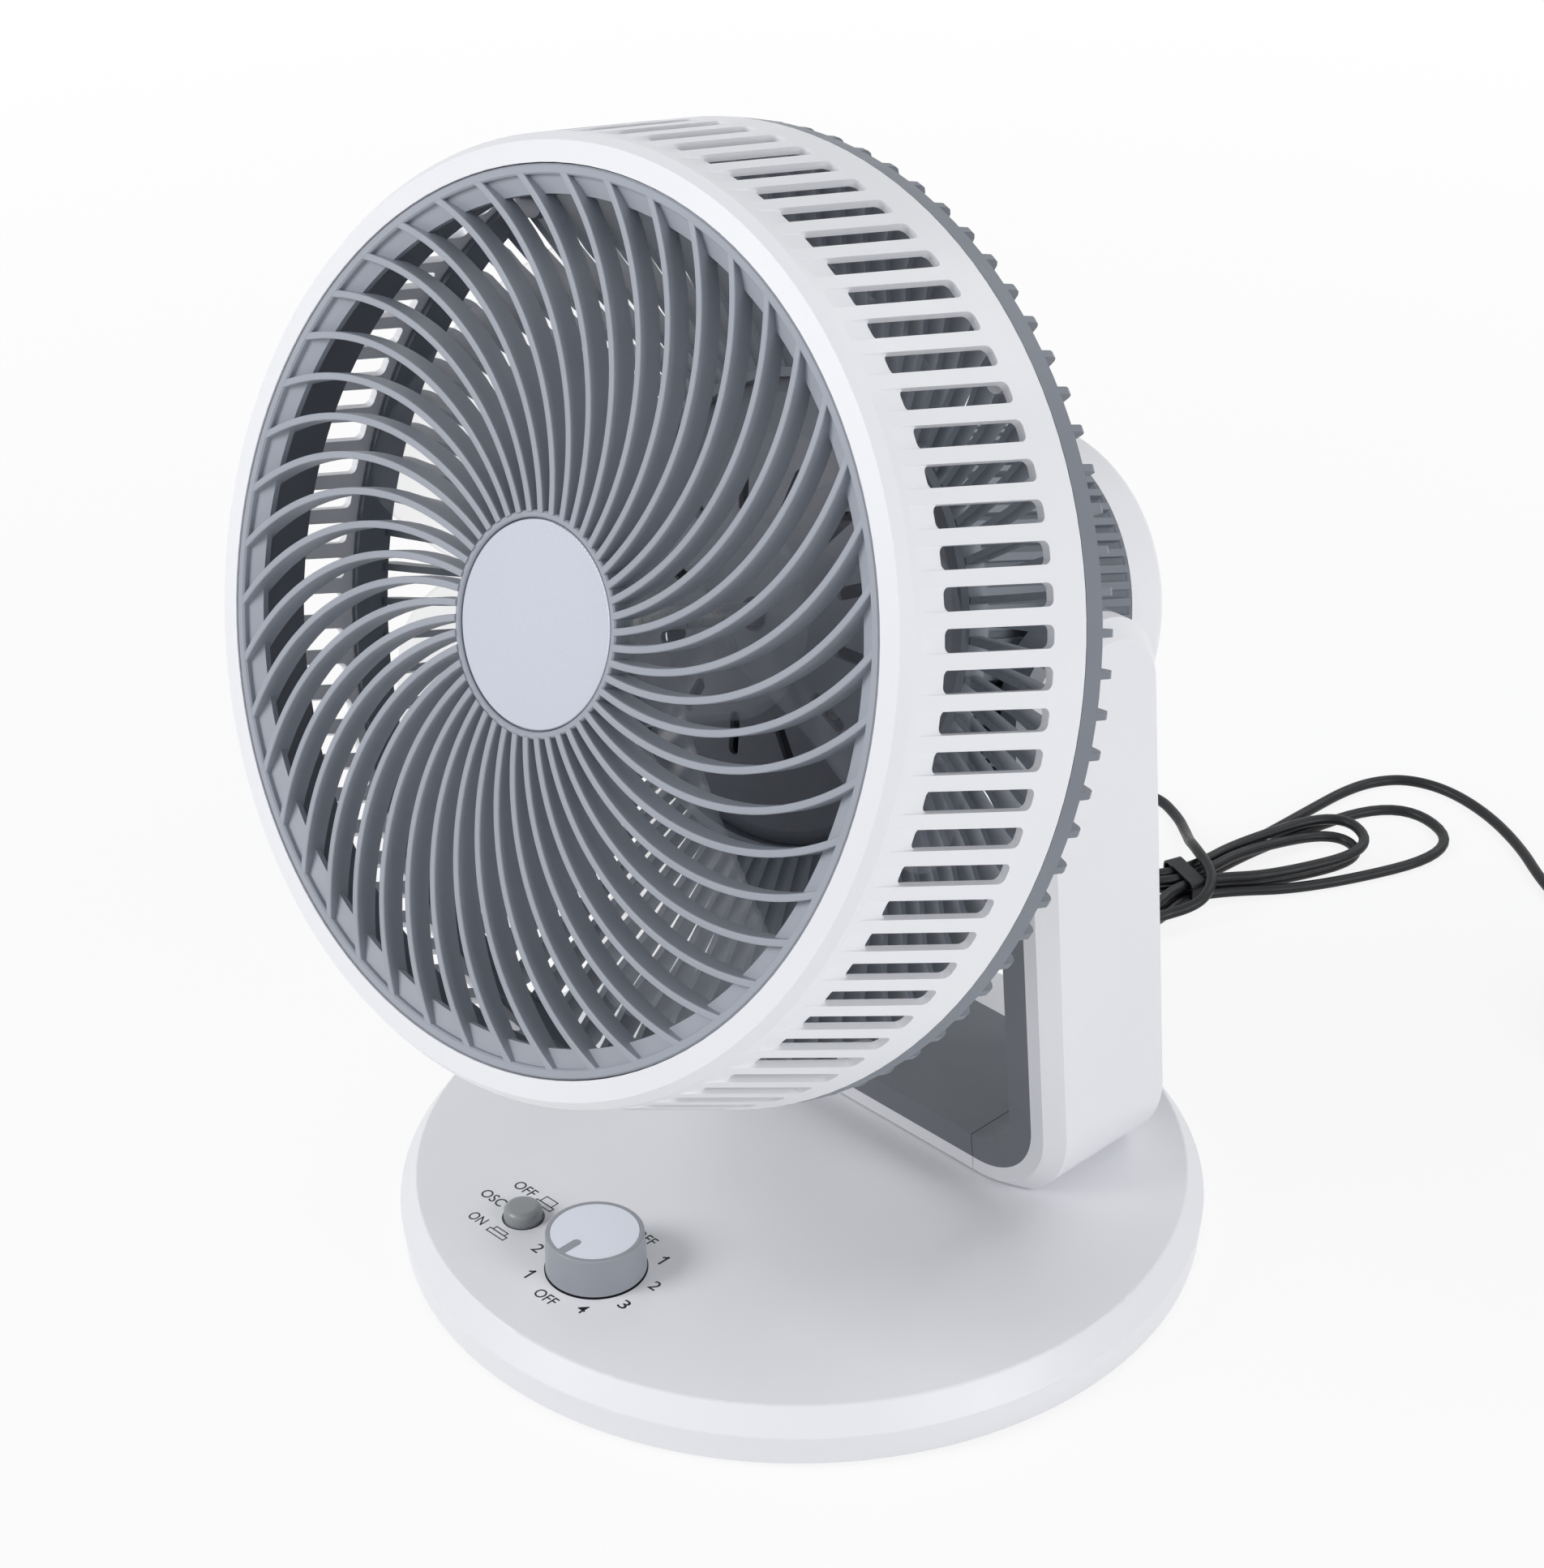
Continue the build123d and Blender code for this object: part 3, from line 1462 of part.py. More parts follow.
def make_cord_tie():
    # a band round the strands, where they are drawn in
    right = waist_outer + cord_radius + loose_fit
    left = waist_outer - hank_step(1) + cord_radius + loose_fit
    low = cord_rest + tie_lift - cord_radius - loose_fit
    high = cord_rest + tie_lift + tie_layer + cord_radius + loose_fit
    width = left + right
    height = high - low
    inner = Box(2 * tie_length, width, height)
    inner = fillet(inner.edges().filter_by(Axis.X), cord_radius)
    outer = Box(tie_length, width + 2 * tie_thickness, height + 2 * tie_thickness)
    outer = fillet(outer.edges().filter_by(Axis.X), cord_radius + tie_thickness)
    band = Pos(0, (right - left) / 2, (low + high) / 2) * (outer - inner)
    return Pos(hank_x, hank_y, 0) * Rot(0, 0, hank_bearing) * band


def plug_frame():
    # local Z points the way the cord arrives, with its origin where the cord ends
    before, end = tail_points[-2:]
    direction = (Vector(*end) - Vector(*before)).normalized()
    return Plane(origin=end, x_dir=(-direction.Y, direction.X, 0), z_dir=direction)


def make_plug_body():
    seated = (Align.CENTER, Align.CENTER, Align.MIN)
    neck = Cone(plug_neck_radius, plug_neck_radius + plug_neck_flare, plug_neck, align=seated)
    body = Box(plug_width, plug_height, plug_length, align=seated)
    body = fillet(body.edges().filter_by(Axis.Z), plug_side_round)
    body = fillet(body.edges().group_by(Axis.Z)[0], plug_back_round)
    body = Pos(0, 0, plug_neck - 1) * body
    return plug_frame().location * (neck + body)


def make_plug_pins():
    pins = []
    start = plug_neck - 1 + plug_length
    for side in (-1, 1):
        pin = Box(
            pin_blade_thickness,
            pin_blade_width,
            pin_blade_length,
            align=(Align.CENTER, Align.CENTER, Align.MIN),
        )
        pin = chamfer(pin.edges().group_by(Axis.Z)[-1], 0.5)
        pins.append(plug_frame().location * (Pos(side * pin_blade_spacing / 2, 0, start) * pin))
    return pins


def make_base_parts():
    return {
        "base_shell": make_base_shell(),
        "base_plate": make_base_plate(),
        "foot_ring": make_foot_ring(),
        "base_screws": make_base_screws(),
        "counterweight": make_counterweight(),
        "speed_switch": make_speed_switch(),
        "swing_switch": make_swing_switch(),
        "swing_motor": make_swing_motor(),
        "turntable_washer": make_turntable_washer(),
        "terminal_block": make_terminal_block(),
        "run_capacitor": make_run_capacitor(),
        "cord_gland": make_cord_gland(),
        "switch_shaft": make_switch_shaft(),
        "speed_knob": make_speed_knob(),
        "knob_insert": make_knob_insert(),
        "swing_button": make_swing_button(),
    }


def make_yoke_parts():
    white = make_yoke_white()
    liner = make_liner_whole()
    shells = make_arm_shells(white)
    liners = make_arm_liners(liner)
    return {
        "arm_shell_left": shells["left"],
        "arm_shell_right": shells["right"],
        "floor_shell": make_floor_shell(white),
        "arm_liner_left": liners["left"],
        "arm_liner_right": liners["right"],
        "floor_liner": make_floor_liner(liner),
        "yoke_spindle": make_yoke_spindle(),
        "swing_gear": make_swing_gear(),
        "swing_pinion": make_swing_pinion(),
        "spindle_clip": make_spindle_clip(),
        "floor_screws": make_floor_screws(),
        "pivot_pins": make_pivot_pins(),
        "pivot_washers": make_pivot_washers(),
    }


def make_head_parts():
    drawn = {
        "front_hoop": make_front_hoop(),
        "front_grille": make_front_grille(),
        "grille_badge": make_grille_badge(),
        "duct_ring": make_duct_ring(),
        "rear_grille": make_rear_grille(),
        "rim_screws": make_rim_screws(),
        "motor_dish": make_motor_dish(),
        "motor_housing": make_motor_housing(),
        "motor_cover": make_motor_cover(),
        "cover_screws": make_cover_screws(),
        "motor_screws": make_motor_screws(),
        "front_bell": make_front_bell(),
        "rear_bell": make_rear_bell(),
        "shaft_bushes": make_shaft_bushes(),
        "stator_core": make_stator_core(),
        "stator_windings": make_stator_windings(),
        "rotor_core": make_rotor_core(),
        "motor_shaft": make_motor_shaft(),
        "impeller": make_impeller(),
        "impeller_nut": make_impeller_nut(),
    }
    placed = {}
    for name, shape in drawn.items():
        pieces = shape if isinstance(shape, list) else [shape]
        placed[name] = [head_place * piece for piece in pieces]
    return placed


def make_cord_parts():
    return make_cords() | {
        "cord_tie": make_cord_tie(),
        "plug_body": make_plug_body(),
        "plug_pins": make_plug_pins(),
    }


def export_all(parts):
    os.makedirs("parts", exist_ok=True)
    for name, shape in parts.items():
        pieces = shape if isinstance(shape, list) else [shape]
        solids = [solid for piece in pieces for solid in piece.solids()]
        whole = solids[0] if len(solids) == 1 else Compound(solids)
        export_step(whole, f"parts/{name}.step")
        print(f"{name}: {len(solids)} solids")


if __name__ == "__main__":
    export_all(make_base_parts() | make_yoke_parts() | make_head_parts() | make_cord_parts())
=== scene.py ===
from math import atan2, cos, pi, radians, sin

import bmesh
import bpy
from mathutils import Matrix, Vector


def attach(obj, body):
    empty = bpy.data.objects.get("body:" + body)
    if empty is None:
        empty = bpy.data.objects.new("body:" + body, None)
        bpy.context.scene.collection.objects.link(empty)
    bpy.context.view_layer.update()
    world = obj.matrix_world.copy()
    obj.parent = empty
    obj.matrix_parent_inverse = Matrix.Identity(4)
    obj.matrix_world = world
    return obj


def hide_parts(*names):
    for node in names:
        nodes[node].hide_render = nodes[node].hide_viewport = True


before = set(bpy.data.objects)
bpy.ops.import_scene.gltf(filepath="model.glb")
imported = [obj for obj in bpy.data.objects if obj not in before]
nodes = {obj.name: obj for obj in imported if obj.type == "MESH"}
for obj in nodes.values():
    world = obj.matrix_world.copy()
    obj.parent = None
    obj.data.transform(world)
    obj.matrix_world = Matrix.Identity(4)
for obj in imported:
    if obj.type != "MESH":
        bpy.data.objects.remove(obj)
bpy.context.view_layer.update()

mm = 0.001
mergeDistance = 1e-7
print("air circulator: frame loaded,", len(nodes), "nodes")


# Camera: where the photograph was taken from, to the right of the fan and above it

cameraLook = {
    "place": (0.893316, -0.877607, 0.954966),
    "bearing": 45.93,
    "height": 31.5,
    "roll": -0.78,
    "lens": 94.86,
    "sensor": 36.0,
    "clip": (0.05, 60.0),
}


def makeCamera():
    data = bpy.data.cameras.new("photoCamera")
    data.lens = cameraLook["lens"]
    data.sensor_width = cameraLook["sensor"]
    data.clip_start, data.clip_end = cameraLook["clip"]
    camera = bpy.data.objects.new("photoCamera", data)
    bpy.context.scene.collection.objects.link(camera)
    turn = Matrix.Rotation(radians(cameraLook["bearing"]), 4, "Z")
    lean = Matrix.Rotation(radians(90 - cameraLook["height"]), 4, "X")
    roll = Matrix.Rotation(radians(cameraLook["roll"]), 4, "Z")
    camera.matrix_world = Matrix.Translation(cameraLook["place"]) @ turn @ lean @ roll
    bpy.context.scene.camera = camera


makeCamera()
print("air circulator: camera set")


# Helpers for pieces

def finish(mesh, name, body, material, smooth=True):
    for polygon in mesh.polygons:
        polygon.use_smooth = smooth
    piece = bpy.data.objects.new(name, mesh)
    bpy.context.scene.collection.objects.link(piece)
    mesh.materials.clear()
    mesh.materials.append(material)
    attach(piece, body)
    return piece


def meshFrom(bm, name, place=Matrix.Identity(4)):
    bmesh.ops.remove_doubles(bm, verts=bm.verts, dist=mergeDistance)
    bmesh.ops.recalc_face_normals(bm, faces=bm.faces)
    bmesh.ops.transform(bm, matrix=place, verts=bm.verts)
    mesh = bpy.data.meshes.new(name)
    bm.to_mesh(mesh)
    bm.free()
    return mesh


def turnedShape(corners, steps, ring=False):
    # turned about Z, from radius and height pairs: from axis to axis, or closed on itself as a ring
    bm = bmesh.new()
    line = [bm.verts.new((radius * mm, 0, height * mm)) for radius, height in corners]
    following = line[1:] + line[:1] if ring else line[1:]
    edges = [bm.edges.new(pair) for pair in zip(line, following)]
    bmesh.ops.spin(
        bm, geom=line + edges, cent=(0, 0, 0), axis=(0, 0, 1),
        angle=2 * pi, steps=steps, use_merge=True,
    )
    return bm


# Materials: each has its own grain, fine shade changes and gloss changes, on object coordinates

patterns = {
    "cloud": (3.0, 0.5),  # detail and roughness of each noise
    "grain": (2.0, 0.6),
    "rub": (4.0, 0.65),
    "scratch": (3.0, 0.7),
    "patch": (4.0, 0.6),
    "spread": (0.3, 0.7),  # where most of a noise's values lie
    "shadeEnds": (0.35, 0.65),
    "ior": 1.46,  # usual for a moulding
}


def newMaterial(name):
    material = bpy.data.materials.new(name)
    material.use_nodes = True
    tree = material.node_tree
    return material, tree, tree.nodes["Principled BSDF"]


def objectNoise(tree, scale, detail, roughness, stretch=None):
    where = tree.nodes.new("ShaderNodeTexCoord")
    noise = tree.nodes.new("ShaderNodeTexNoise")
    noise.inputs["Scale"].default_value = scale
    noise.inputs["Detail"].default_value = detail
    noise.inputs["Roughness"].default_value = roughness
    source = where.outputs["Object"]
    if stretch:
        mapping = tree.nodes.new("ShaderNodeMapping")
        mapping.inputs["Scale"].default_value = stretch
        tree.links.new(source, mapping.inputs["Vector"])
        source = mapping.outputs["Vector"]
    tree.links.new(source, noise.inputs["Vector"])
    return noise.outputs["Fac"]


def between(tree, factor, low, high):
    # the factor spread over a range of plain values
    span = tree.nodes.new("ShaderNodeMapRange")
    least, most = patterns["spread"]
    span.inputs["From Min"].default_value = least
    span.inputs["From Max"].default_value = most
    span.inputs["To Min"].default_value = low
    span.inputs["To Max"].default_value = high
    tree.links.new(factor, span.inputs["Value"])
    return span.outputs["Result"]


def shades(tree, factor, colour, change):
    # two near shades of one colour, mixed by the factor
    ramp = tree.nodes.new("ShaderNodeValToRGB")
    sides = (1 - change, 1 + change)
    for element, side, end in zip(ramp.color_ramp.elements, sides, patterns["shadeEnds"]):
        element.color = (*[min(1.0, part * side) for part in colour], 1)
        element.position = end
    tree.links.new(factor, ramp.inputs["Fac"])
    return ramp.outputs["Color"]


def grainBump(tree, shader, height, depth):
    bump = tree.nodes.new("ShaderNodeBump")
    bump.inputs["Distance"].default_value = depth * mm
    bump.inputs["Strength"].default_value = 1.0
    tree.links.new(height, bump.inputs["Height"])
    tree.links.new(bump.outputs["Normal"], shader.inputs["Normal"])


def colourAndGloss(tree, shader, tint, gloss, look):
    # shades of the colour by one pattern, roughness by the other
    shade = shades(tree, tint, look["colour"], look["shade"])
    tree.links.new(shade, shader.inputs["Base Color"])
    tree.links.new(between(tree, gloss, *look["roughness"]), shader.inputs["Roughness"])


def mouldedPlastic(name, look):
    material, tree, shader = newMaterial(name)
    cloud = objectNoise(tree, look["cloudScale"], *patterns["cloud"])
    grain = objectNoise(tree, look["grainScale"], *patterns["grain"])
    rub = objectNoise(tree, look["rubScale"], *patterns["rub"])
    colourAndGloss(tree, shader, cloud, rub, look)
    shader.inputs["IOR"].default_value = look.get("ior", patterns["ior"])
    grainBump(tree, shader, grain, look["grainDepth"])
    return material


satinWhite = mouldedPlastic("satinWhite", {
    "colour": (0.872, 0.875, 0.90), "shade": 0.010, "cloudScale": 9.0,
    "roughness": (0.30, 0.40), "rubScale": 60.0, "grainScale": 1900.0, "grainDepth": 0.012,
})
coolGrey = mouldedPlastic("coolGrey", {
    "colour": (0.355, 0.38, 0.43), "shade": 0.03, "cloudScale": 22.0,
    "roughness": (0.36, 0.48), "rubScale": 80.0, "grainScale": 2200.0, "grainDepth": 0.02,
})
rearGrey = mouldedPlastic("rearGrey", {
    "colour": (0.185, 0.205, 0.24), "shade": 0.03, "cloudScale": 22.0,
    "roughness": (0.38, 0.50), "rubScale": 80.0, "grainScale": 2000.0, "grainDepth": 0.02,
})
linerGrey = mouldedPlastic("linerGrey", {
    "colour": (0.17, 0.185, 0.205), "shade": 0.03, "cloudScale": 18.0,
    "roughness": (0.40, 0.52), "rubScale": 70.0, "grainScale": 1700.0, "grainDepth": 0.03,
})
darkGrey = mouldedPlastic("darkGrey", {
    "colour": (0.105, 0.110, 0.125), "shade": 0.06, "cloudScale": 20.0,
    "roughness": (0.42, 0.55), "rubScale": 70.0, "grainScale": 1600.0, "grainDepth": 0.03,
})
# the front grille's cool grey darkened to paint the shade inside the duct; the motor dish behind the
# blades has it too
ductShadeGrey = mouldedPlastic("ductShadeGrey", {
    "colour": (0.15, 0.16, 0.185), "shade": 0.05, "cloudScale": 20.0,
    "roughness": (0.40, 0.52), "rubScale": 70.0, "grainScale": 1800.0, "grainDepth": 0.02,
})
knobGrey = mouldedPlastic("knobGrey", {
    "colour": (0.32, 0.335, 0.37), "shade": 0.008, "cloudScale": 14.0,
    "roughness": (0.27, 0.31), "rubScale": 30.0, "grainScale": 2600.0, "grainDepth": 0.008,
})
buttonGrey = mouldedPlastic("buttonGrey", {
    "colour": (0.29, 0.305, 0.31), "shade": 0.008, "cloudScale": 30.0,
    "roughness": (0.24, 0.28), "rubScale": 60.0, "grainScale": 2600.0, "grainDepth": 0.006,
})
naturalNylon = mouldedPlastic("naturalNylon", {
    "colour": (0.66, 0.64, 0.57), "shade": 0.03, "cloudScale": 60.0,
    "roughness": (0.38, 0.50), "rubScale": 150.0, "grainScale": 1500.0, "grainDepth": 0.02,
})
blackRubber = mouldedPlastic("blackRubber", {
    "colour": (0.020, 0.021, 0.023), "shade": 0.12, "cloudScale": 50.0,
    "roughness": (0.62, 0.80), "rubScale": 160.0, "grainScale": 1300.0, "grainDepth": 0.05,
    "ior": 1.5,
})
cordSheath = mouldedPlastic("cordSheath", {
    "colour": (0.006, 0.007, 0.009), "shade": 0.10, "cloudScale": 70.0,
    "roughness": (0.36, 0.50), "rubScale": 180.0, "grainScale": 1500.0, "grainDepth": 0.025,
    "ior": 1.4,
})
# near-black print ink, also used to paint the shade in the gaps round the dial and the button
inkAndGapShade = mouldedPlastic("inkAndGapShade", {
    "colour": (0.010, 0.012, 0.018), "shade": 0.08, "cloudScale": 900.0,
    "roughness": (0.40, 0.50), "rubScale": 900.0, "grainScale": 4000.0, "grainDepth": 0.006,
})


def plainMetal(name, look):
    # machined or drawn metal: fine scratches along one axis, and darker handled patches
    material, tree, shader = newMaterial(name)
    scratch = objectNoise(tree, look["scratchScale"], *patterns["scratch"], look["stretch"])
    patch = objectNoise(tree, look["patchScale"], *patterns["patch"])
    colourAndGloss(tree, shader, patch, scratch, look)
    shader.inputs["Metallic"].default_value = 1.0
    grainBump(tree, shader, scratch, look["scratchDepth"])
    return material


plainSteel = plainMetal("plainSteel", {
    "colour": (0.56, 0.57, 0.58), "shade": 0.06, "patchScale": 90.0,
    "scratchScale": 900.0, "stretch": (1.0, 1.0, 0.12),
    "roughness": (0.26, 0.40), "scratchDepth": 0.006,
})
dieCast = plainMetal("dieCast", {
    "colour": (0.66, 0.665, 0.68), "shade": 0.05, "patchScale": 60.0,
    "scratchScale": 1400.0, "stretch": (1.0, 1.0, 1.0),
    "roughness": (0.38, 0.55), "scratchDepth": 0.02,
})
plugBrass = plainMetal("plugBrass", {
    "colour": (0.74, 0.58, 0.30), "shade": 0.06, "patchScale": 120.0,
    "scratchScale": 1100.0, "stretch": (1.0, 1.0, 0.2),
    "roughness": (0.20, 0.34), "scratchDepth": 0.004,
})
castIron = plainMetal("castIron", {
    "colour": (0.11, 0.11, 0.115), "shade": 0.15, "patchScale": 120.0,
    "scratchScale": 700.0, "stretch": (1.0, 1.0, 1.0),
    "roughness": (0.55, 0.75), "scratchDepth": 0.12,
})


copperLook = {
    "colour": (0.50, 0.20, 0.09), "shade": 0.12, "roughness": (0.22, 0.38), "enamel": 0.5,
    "patch": (80.0, 3.0, 0.5), "strands": (500.0, 2.0, 0.5), "stretch": (0.15, 1.0, 1.0),
    "strandDepth": 0.12,
}


def makeCopperWire():
    # enamelled turns: fine bands round the coil's axis
    material, tree, shader = newMaterial("copperWire")
    patch = objectNoise(tree, *copperLook["patch"])
    strands = objectNoise(tree, *copperLook["strands"], copperLook["stretch"])
    colourAndGloss(tree, shader, patch, strands, copperLook)
    shader.inputs["Metallic"].default_value = 1.0
    shader.inputs["Coat Weight"].default_value = copperLook["enamel"]
    grainBump(tree, shader, strands, copperLook["strandDepth"])
    return material


copperWire = makeCopperWire()


silverLook = {
    "shade": 0.03, "roughness": (0.30, 0.38), "metal": 0.15, "coat": 0.25, "coatRoughness": 0.15,
    "fleck": (2400.0, 2.0, 0.7), "cloud": (14.0, 2.0, 0.5), "fleckDepth": 0.003,
}


def makeSilverPaint(name, colour):
    # pale silver paint: a fine fleck under a smooth face
    material, tree, shader = newMaterial(name)
    fleck = objectNoise(tree, *silverLook["fleck"])
    cloud = objectNoise(tree, *silverLook["cloud"])
    colourAndGloss(tree, shader, fleck, cloud, {**silverLook, "colour": colour})
    shader.inputs["Metallic"].default_value = silverLook["metal"]
    shader.inputs["Coat Weight"].default_value = silverLook["coat"]
    shader.inputs["Coat Roughness"].default_value = silverLook["coatRoughness"]
    grainBump(tree, shader, fleck, silverLook["fleckDepth"])
    return material


badgeSilver = makeSilverPaint("badgeSilver", (0.60, 0.62, 0.70))
# the badge's silver paint made lighter for the knob's flat top: painted light on that top
litInsertSilver = makeSilverPaint("litInsertSilver", (0.79, 0.83, 0.91))


bladeLook = {
    "colour": (0.56, 0.58, 0.65), "shade": 0.05, "roughness": (0.05, 0.10),
    "flow": (16.0, 3.0, 0.5), "ripple": (45.0, 1.0, 0.4), "rippleDepth": 0.05,
    "rimBlend": 0.15, "cover": (0.03, 0.55), "ior": 1.49, "specular": 0.5,
}


def makeClearBlade():
    # clear smoky moulding: clearest where it is faced, fuller along its edges, with faint flow marks
    material, tree, shader = newMaterial("clearBlade")
    flow = objectNoise(tree, *bladeLook["flow"])
    ripple = objectNoise(tree, *bladeLook["ripple"])
    colourAndGloss(tree, shader, flow, flow, bladeLook)
    rim = tree.nodes.new("ShaderNodeLayerWeight")
    rim.inputs["Blend"].default_value = bladeLook["rimBlend"]
    cover = tree.nodes.new("ShaderNodeMapRange")
    least, most = bladeLook["cover"]
    cover.inputs["To Min"].default_value = least
    cover.inputs["To Max"].default_value = most
    tree.links.new(rim.outputs["Facing"], cover.inputs["Value"])
    tree.links.new(cover.outputs["Result"], shader.inputs["Alpha"])
    shader.inputs["IOR"].default_value = bladeLook["ior"]
    shader.inputs["Specular IOR Level"].default_value = bladeLook["specular"]
    grainBump(tree, shader, ripple, bladeLook["rippleDepth"])
    return material


clearBlade = makeClearBlade()

finishes = {
    satinWhite: [
        "base_shell", "arm_shell_left", "arm_shell_right", "floor_shell", "front_hoop",
        "motor_cover",
    ],
    coolGrey: ["front_grille"],
    rearGrey: ["rear_grille", "motor_housing"],
    linerGrey: ["arm_liner_left", "arm_liner_right", "floor_liner"],
    darkGrey: ["base_plate", "speed_switch", "swing_switch", "terminal_block"],
    ductShadeGrey: ["duct_ring", "motor_dish"],
    badgeSilver: ["grille_badge"],
    litInsertSilver: ["knob_insert"],
    knobGrey: ["speed_knob"],
    buttonGrey: ["swing_button"],
    clearBlade: ["impeller"],
    blackRubber: ["foot_ring"],
    cordSheath: ["cord_gland", "cord_tie", "plug_body"],
    plugBrass: ["plug_pins", "shaft_bushes"],
    copperWire: ["stator_windings"],
    plainSteel: [
        "switch_shaft", "spindle_clip", "pivot_pins", "motor_shaft", "rotor_core", "stator_core",
        "impeller_nut", "floor_screws", "base_screws", "rim_screws", "cover_screws", "motor_screws",
    ],
    castIron: ["counterweight"],
    dieCast: ["front_bell", "rear_bell", "swing_motor", "run_capacitor"],
    naturalNylon: ["swing_gear", "swing_pinion", "yoke_spindle", "turntable_washer", "pivot_washers"],
}
for material, names in finishes.items():
    for name in names:
        nodes[name].data.materials.clear()
        nodes[name].data.materials.append(material)
print("air circulator: materials on every node")


# Power cord: out of the base's back, into a flat hank held by a tie, then round it to the plug

cordSizes = {
    "radius": 2.3,
    "rest": 2.35,
    "pitch": 5.9,
    "layer": 5.4,
    "tieLift": 1.4,
    "tieLayer": 5.0,
    "hankCentre": (-36.8, 265.6),
    "hankBearing": 71.0,
    "halfTurns": 7,
    "looseTurn": 5,
    "waistRun": 9.0,
    "waistOuter": 10.05,
    "lobeWidth": 12.5,
    "lobeShoulder": 0.42,
    "shoulderWidth": 0.8,
    "looseShoulderWidth": 0.67,
    "leftReach": 56.0,
    "rightReach": 82.0,
    "looseReach": 118.0,
    "looseWidth": 20.5,
    "length": 1.843,
    "roundness": 6,
    "smoothness": 10,
    "order": 3,
}
leadPoints = [
    (-74.1, 159.0, 10.5), (-80.3, 172.1, 10.5), (-89.0, 188.0, 5.6), (-104.0, 203.0, 2.35),
    (-124.0, 223.0, 2.35), (-137.0, 250.0, 2.35), (-135.0, 281.0, 2.35), (-118.0, 304.0, 2.35),
    (-96.0, 315.0, 2.35), (-78.0, 308.0, 2.35), (-66.0, 299.0, 4.0), (-55.2, 288.9, 8.5),
    (-46.5, 280.6, 14.5), (-25.8, 269.8, 14.5), (-19.6, 258.6, 11.4), (-20.4, 249.4, 9.3),
]
tailPoints = [
    (-42.4, 304.6, 2.35), (-41.4, 330.6, 2.35), (-40.7, 355.8, 2.35), (-40.0, 374.6, 2.35),
    (-36.2, 390.2, 2.35), (-26.6, 402.7, 2.35), (-7.9, 407.9, 2.35), (17.1, 403.6, 2.35),
    (42.7, 392.1, 2.35), (63.3, 378.1, 2.35), (81.5, 368.8, 2.35), (98.5, 364.5, 2.35),
    (113.5, 359.0, 5.4), (123.5, 347.5, 8.6), (131.0, 334.5, 8.6),
]


def hankPlace(forward, sideways, height):
    # a place in the hank: forward along it from the tie, sideways to its left
    bearing = radians(cordSizes["hankBearing"])
    x, y = cordSizes["hankCentre"]
    return (
        x + forward * cos(bearing) - sideways * sin(bearing),
        y + forward * sin(bearing) + sideways * cos(bearing),
        height,
    )


def hankPoints():
    # loops drawn in at the tie: they spiral in on the upper layer and out again on the lower one
    c = cordSizes
    turns = c["halfTurns"]

    def step(boundary):
        return c["pitch"] / 2 * min(boundary, turns - boundary)

    def height(boundary, lowest, layer):
        return lowest + layer if boundary < turns / 2 else lowest

    points = []
    most = step(turns // 2)
    for half in range(turns):
        side = -1 if half % 2 == 0 else 1
        loose = half == c["looseTurn"]
        reach = c["looseReach"] if loose else c["leftReach"] if side < 0 else c["rightReach"]
        width = c["looseWidth"] if loose else c["lobeWidth"]
        lobe = height(half + 1, c["rest"], c["layer"])
        grow, growAfter = most - step(half), most - step(half + 1)
        waist = c["waistOuter"] - step(half + 1)
        waistHeight = height(half + 1, c["rest"] + c["tieLift"], c["tieLayer"])
        shoulder = c["lobeShoulder"] * reach
        share = c["looseShoulderWidth"] if loose else c["shoulderWidth"]
        start = height(half, c["rest"], c["layer"])
        points += [
            hankPlace(side * shoulder, side * (share * width + grow), start),
            hankPlace(side * (reach + grow), side * (width + grow), lobe),
            hankPlace(side * (reach + growAfter), -side * (width + growAfter), lobe),
            hankPlace(side * shoulder, -side * (c["shoulderWidth"] * width + growAfter), lobe),
            hankPlace(side * c["waistRun"], -side * waist, waistHeight),
            hankPlace(-side * c["waistRun"], -side * waist, waistHeight),
        ]
    return points


def makeCord():
    points = leadPoints + hankPoints() + tailPoints
    curve = bpy.data.curves.new("powerCord", "CURVE")
    curve.dimensions = "3D"
    curve.bevel_depth = cordSizes["radius"] * mm
    curve.bevel_resolution = cordSizes["roundness"]
    curve.resolution_u = cordSizes["smoothness"]
    curve.use_fill_caps = True
    spline = curve.splines.new("NURBS")
    spline.points.add(len(points) - 1)
    for control, (x, y, z) in zip(spline.points, points):
        control.co = (x * mm, y * mm, z * mm, 1)
    spline.order_u = cordSizes["order"]
    spline.use_endpoint_u = True
    spline.use_smooth = True
    cord = bpy.data.objects.new("powerCord", curve)
    bpy.context.scene.collection.objects.link(cord)
    curve.materials.append(cordSheath)
    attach(cord, "base")
    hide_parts("cord_lead", "cord_hank", "cord_tail")
    return cord


powerCord = makeCord()


strainReliefSizes = {
    "length": 24.5,
    "flangeRadius": 6.3,
    "flangeThickness": 1.8,
    "wallGap": 4.0,
    "wallThickness": 2.4,
    "rootRadius": 4.6,
    "tipRadius": 3.2,
    "edge": 0.4,
    "wideEdge": 0.5,
    "ribs": 5,
    "ribDepth": 0.55,
    "ribStart": 1.2,
    "plainEnds": 3.0,
    "groove": ((0.0, 0), (0.12, 1), (0.42, 1), (0.54, 0)),  # share of the pitch, cut or not
    "bearing": 115.0,
    "steps": 40,
}


